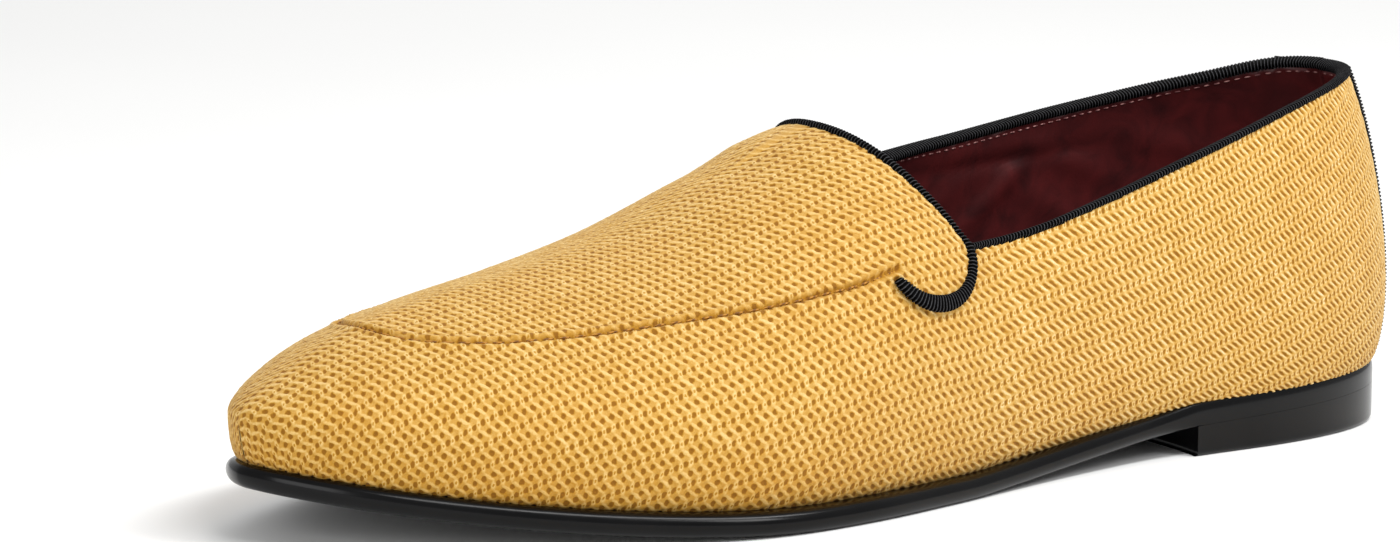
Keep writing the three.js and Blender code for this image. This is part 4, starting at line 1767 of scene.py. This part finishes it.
@dataclass
class Lining:
    """Leather inside: the lining of vamp and quarters with its stitches, and the insole."""

    last: Last
    sheet: float = 0.8
    edge_margin: float = 0.9
    ribs: int = 300
    crown_rings: int = 80
    tuck_rings: int = 14
    stitch_ribs: int = 420
    stitch_drop: float = 3.2
    stitch_rise: float = 0.1
    stitch_row: StitchRow = StitchRow(1.5, 0.9, 0.2)
    insole_thickness: float = 2.2
    insole_ribs: int = 160
    insole_rim: tuple[float, ...] = (0.0, 0.004, 0.012, 0.03)
    insole_flat: Span = (0.08, 0.92)
    insole_columns: int = 13

    def shell(self, leather: bpy.types.Material) -> None:
        """Line the upper from the topline down to the insole.

        Args:
            leather: Finish of the lining.
        """
        halves = [Surface(self.last, side, self.sheet - self.last.wall, self.ribs, self.crown_rings,
                          tuck_rings=self.tuck_rings, tuck_reach=1.0) for side in Side]
        outer, inner = ((half.points, half.normals,
                         self.last.in_opening(half.points, half.side, self.edge_margin))
                        for half in halves)
        points, normals, cut = (np.concatenate((a[:, ::-1], b[:, 1:]), 1) for a, b in zip(outer, inner))
        points = points - normals * self.creases(points)[..., None]
        mesh = sheet_mesh("lining", self.last.place(points), Facing.LAID, keep=~any_corner(cut))
        piece = add_piece("lining", mesh, leather, ("upper",))
        sheet = piece.modifiers.new("sheet", "SOLIDIFY")
        sheet.thickness = self.sheet * MM
        sheet.offset = -1.0

    def creases(self, points: np.ndarray) -> np.ndarray:
        """Add up the soft folds of the lining where the quarters bend.

        Args:
            points: Points of the lining.

        Returns:
            Rise of the folds into the shoe.
        """
        total = np.zeros(points.shape[:-1])
        for fold in FOLDS:
            along = points[..., 0] - fold.x
            off = points[..., 2] - fold.z - fold.slope * along
            total = total + fold.height * np.exp(-(along / fold.reach) ** 2 - (off / fold.half) ** 2)
        return total

    def stitches(self, thread: bpy.types.Material) -> None:
        """Sew the lining to the ribbon, a little below the topline of each quarter.

        Args:
            thread: Finish of the stitches.
        """
        for side in Side:
            surface = Surface(self.last, side, -self.last.wall, self.stitch_ribs)
            path, normals, ups = surface.topline_path()
            path = path - ups * self.stitch_drop
            path = path - normals * (self.creases(path) + self.stitch_rise)[:, None]
            self.stitch_row.sew(f"lining_stitches_{side.column}", self.last.place(path), thread)

    def insole(self, leather: bpy.types.Material) -> None:
        """Lay a soft-edged sheet inside the lower edge of the upper.

        Args:
            leather: Finish of the insole.
        """
        t = np.linspace(0, 1, self.insole_ribs)
        inside = -self.last.wall - self.last.seat_gap
        outer, inner = (self.last.tuck_points(t, np.array([1.0]), side, inside)[:, 0] for side in Side)
        rim = np.array(self.insole_rim)
        flat = np.linspace(*self.insole_flat, self.insole_columns)
        shares = np.concatenate((rim, flat, 1 - rim[::-1]))
        ease = np.minimum(1, np.minimum(shares, 1 - shares) / rim[-1])
        level = self.insole_thickness * np.sqrt(1 - (1 - ease) ** 2)
        plan = outer[:, None] + (inner - outer)[:, None] * shares[None, :, None]
        base = self.last.sole_top(plan[..., 0]) + self.last.seat_gap
        points = np.concatenate((plan[..., :2], (base + level[None])[..., None]), -1)
        mesh = sheet_mesh("insole_sock", self.last.place(points), Facing.TURNED)
        add_piece("insole_sock", mesh, leather, ("insole",))

    def build(self, leather: bpy.types.Material, thread: bpy.types.Material) -> None:
        """Make the lining, its stitches and the insole.

        Args:
            leather: Finish of lining and insole.
            thread: Finish of the stitches.
        """
        self.shell(leather)
        self.stitches(thread)
        self.insole(leather)


@dataclass
class Bottom:
    """Sole and heel."""

    last: Last
    ribs: int = 260
    edge_round: float = 2.4
    edge_columns: int = 15
    flat_columns: int = 8
    heel_top: float = 1.1
    heel_blend: Span = (-4.0, 16.0)
    heel_share: float = 0.42
    heel_round: float = 1.3
    heel_rings: int = 6
    heel_gap: float = 0.05
    heel_columns: int = 90
    breast_hollow: float = 4.0
    breast_columns: int = 22
    sharp_angle: float = math.radians(40)

    def sole_half(self, side: Side) -> np.ndarray:
        """Cut one half of the sole across its ribs.

        Args:
            side: Half of the shoe.

        Returns:
            Points by rib, from the ridge under the sole round its edge and back over its top.
        """
        spine, edge = self.last.rib(np.linspace(0, 1, self.ribs), side, on_sole=True)
        inward = unit(spine - edge)
        width = np.linalg.norm(spine - edge, axis=-1)
        blend = (self.last.heel_breast + end for end in self.heel_blend)
        over_heel = 1 - smoothstep(*blend, edge[:, 0])
        low_round = self.edge_round * (1 - over_heel)
        top_round = self.edge_round + (self.heel_top - self.edge_round) * over_heel
        flats = np.linspace(1, 0, self.flat_columns + 1)[:-1]
        columns = [(low_round + (width - low_round) * share, 0.0) for share in flats]
        for angle in np.linspace(-math.pi / 2, math.pi / 2, self.edge_columns):
            bend = low_round if angle < 0 else top_round
            columns.append((bend * (1 - math.cos(angle)), (1 + math.sin(angle)) / 2))
        columns += [(top_round + (width - top_round) * share, 1.0) for share in flats[::-1]]
        sheet = []
        for inset, level in columns:
            plan = edge + inward * inset[:, None]
            z = self.last.sole_under(plan[:, 0]) + level * self.last.sole_thickness
            sheet.append(np.concatenate((plan, z[:, None]), -1))
        return np.stack(sheet, 1)

    def sole(self, leather: bpy.types.Material) -> None:
        """Make the outsole with a burnished round edge, squarer over the heel.

        Args:
            leather: Finish of the sole.
        """
        outer, inner = (self.sole_half(side) for side in Side)
        points = np.concatenate((outer, inner[:, ::-1], outer[:, :1]), 1)
        mesh = sheet_mesh("sole", self.last.place(points), Facing.OUTWARD, wrap=True)
        mesh.set_sharp_from_angle(angle=self.sharp_angle)
        add_piece("sole", mesh, leather, ("outsole",))

    def heel_ring(self, inset: float) -> np.ndarray:
        """Plan outline of the heel with its hollow breast.

        Args:
            inset: Distance inwards from the sole's outline.

        Returns:
            Closed outline: outer side, breast, inner side.
        """
        halves = []
        for side in Side:
            t = np.linspace(0, self.heel_share, self.ribs)
            spine, edge = self.last.rib(t, side, on_sole=True)
            plan = edge + unit(spine - edge) * inset
            plan = plan[plan[:, 0] <= self.last.heel_breast]
            run = run_length(plan, 0)
            halves.append(sampled(np.linspace(0, run[-1], self.heel_columns), run, plan))
        outer, inner = halves
        share = np.linspace(0, 1, self.breast_columns + 2)[1:-1]
        breast = inner[-1] + (outer[-1] - inner[-1]) * share[:, None]
        breast[:, 0] -= self.breast_hollow * (1 - (2 * share - 1) ** 2)
        return np.concatenate((outer, breast[::-1], inner[:0:-1], outer[:1]))

    def heel(self, leather: bpy.types.Material) -> None:
        """Make the heel block: flush with the sole, with a hollow breast and an eased lower edge.

        Args:
            leather: Finish of the heel.
        """
        wall = self.heel_ring(0.0)
        seat = np.maximum(self.last.sole_under(wall[:, 0]), self.last.heel_height) - self.heel_gap
        rings = [np.concatenate((wall, seat[:, None]), -1)]
        for angle in np.linspace(0, math.pi / 2, self.heel_rings + 1):
            plan = self.heel_ring(self.heel_round * (1 - math.cos(angle)))
            height = np.full((len(plan), 1), self.heel_round * (1 - math.sin(angle)))
            rings.append(np.concatenate((plan, height), -1))
        points = self.last.place(np.stack(rings))
        mesh = sheet_mesh("heel_block", points, Facing.OUTWARD, wrap=True, cap=True)
        add_piece("heel_block", mesh, leather, ("heel",))
        mesh.set_sharp_from_angle(angle=self.sharp_angle)

    def build(self, leather: bpy.types.Material) -> None:
        """Make the sole and the heel.

        Args:
            leather: Finish of both.
        """
        self.sole(leather)
        self.heel(leather)


@dataclass(frozen=True)
class Lamp:
    """A soft white light: place and size in metres, power in watts."""

    name: str
    place: Triple
    size: tuple[float, float]
    watts: float

    def hang(self, aim: Triple) -> None:
        """Hang the light.

        Args:
            aim: Point that it is turned to, in metres.
        """
        data = bpy.data.lights.new(self.name, "AREA")
        data.shape = "RECTANGLE"
        data.size, data.size_y = self.size
        data.energy = self.watts
        light = bpy.data.objects.new(self.name, data)
        light.location = self.place
        light.rotation_mode = "QUATERNION"
        light.rotation_quaternion = (Vector(aim) - Vector(self.place)).to_track_quat("-Z", "Y")
        bpy.context.scene.collection.objects.link(light)


@dataclass
class Studio:
    """Floor, light and camera."""

    last: Last
    # Camera, as fitted to the picture's outline: angles in degrees, lens and sensor in millimetres.
    azimuth: float = 143.11
    elevation: float = 8.78
    roll: float = 0.66
    distance: float = 1179.45
    target: Triple = (183.44, 0.0, 46.62)
    lens: float = 144.42
    sensor: float = 36.0
    near_m: float = 0.01
    floor_half_m: float = 6.0
    floor_faces: int = 8
    floor_gap: float = 0.05
    world_strength: float = 0.52
    aim_m: Triple = (0.0, 0.0, 0.03)
    lamps: tuple[Lamp, ...] = (
        Lamp("key", (-0.6, 1.3, 1.1), (0.5, 0.5), 7.4),
        Lamp("toe_fill", (1.6, 0.7, 0.6), (1.0, 1.0), 10.2),
        Lamp("edge_strip", (-0.13, 0.55, 0.9), (1.2, 0.17), 8.5),
        Lamp("back_rim", (-0.9, -1.0, 1.3), (1.0, 1.0), 6.0),
    )

    def floor(self) -> None:
        """Lay a wide pale floor."""
        shape = bmesh.new()
        bmesh.ops.create_grid(shape, x_segments=self.floor_faces, y_segments=self.floor_faces,
                              size=self.floor_half_m)
        bmesh.ops.translate(shape, verts=shape.verts, vec=(0, 0, -self.floor_gap * MM))
        mesh = bpy.data.meshes.new("floor")
        shape.to_mesh(mesh)
        shape.free()
        mesh.materials.append(PaperFloor().material())
        ground = bpy.data.objects.new("floor", mesh)
        bpy.context.scene.collection.objects.link(ground)

    def light(self) -> None:
        """Hang the lamps and light the room evenly."""
        for lamp in self.lamps:
            lamp.hang(self.aim_m)
        world = bpy.data.worlds.new("studio")
        world.use_nodes = True
        shade = world.node_tree.nodes["Background"]
        shade.inputs["Color"].default_value = linear("ffffff")
        shade.inputs["Strength"].default_value = self.world_strength
        bpy.context.scene.world = world
        bpy.context.scene.view_settings.view_transform = "Standard"

    def camera(self) -> None:
        """Stand the camera where the picture was taken from."""
        a, e, r = (math.radians(v) for v in (self.azimuth, self.elevation, self.roll))
        back = Vector((math.sin(a) * math.cos(e), -math.cos(a) * math.cos(e), math.sin(e)))
        level = (-back).cross(Vector((0, 0, 1))).normalized()
        upright = level.cross(-back)
        right = level * math.cos(r) + upright * math.sin(r)
        top = upright * math.cos(r) - level * math.sin(r)
        data = bpy.data.cameras.new("camera")
        data.lens = self.lens
        data.sensor_width = self.sensor
        data.sensor_fit = "HORIZONTAL"
        data.clip_start = self.near_m
        camera = bpy.data.objects.new("camera", data)
        spot = Vector(self.target) + back * self.distance
        turn = Matrix((right, top, back)).transposed().to_4x4()
        camera.matrix_world = Matrix.Translation(Vector(self.last.place(np.array(spot)))) @ turn
        bpy.context.scene.collection.objects.link(camera)
        bpy.context.scene.camera = camera

    def build(self) -> None:
        """Set floor, light and camera."""
        self.floor()
        self.light()
        self.camera()


def main() -> None:
    """Dress the shoe and set the studio."""
    logging.basicConfig(level=logging.INFO, format="%(name)s %(message)s")
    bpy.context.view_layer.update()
    last = Last()
    last.seat_on_frame()
    surfaces = {side: Surface(last, side) for side in Side}
    WovenUpper(last, surfaces).build(MustardWeave().material(), StitchThread().material())
    Ribbons(last, surfaces).build(GrosgrainRibbon().material())
    Lining(last).build(LiningLeather().material(), CottonThread().material())
    Bottom(last).build(SoleLeather().material())
    Studio(last).build()


if __name__ == "__main__":
    main()
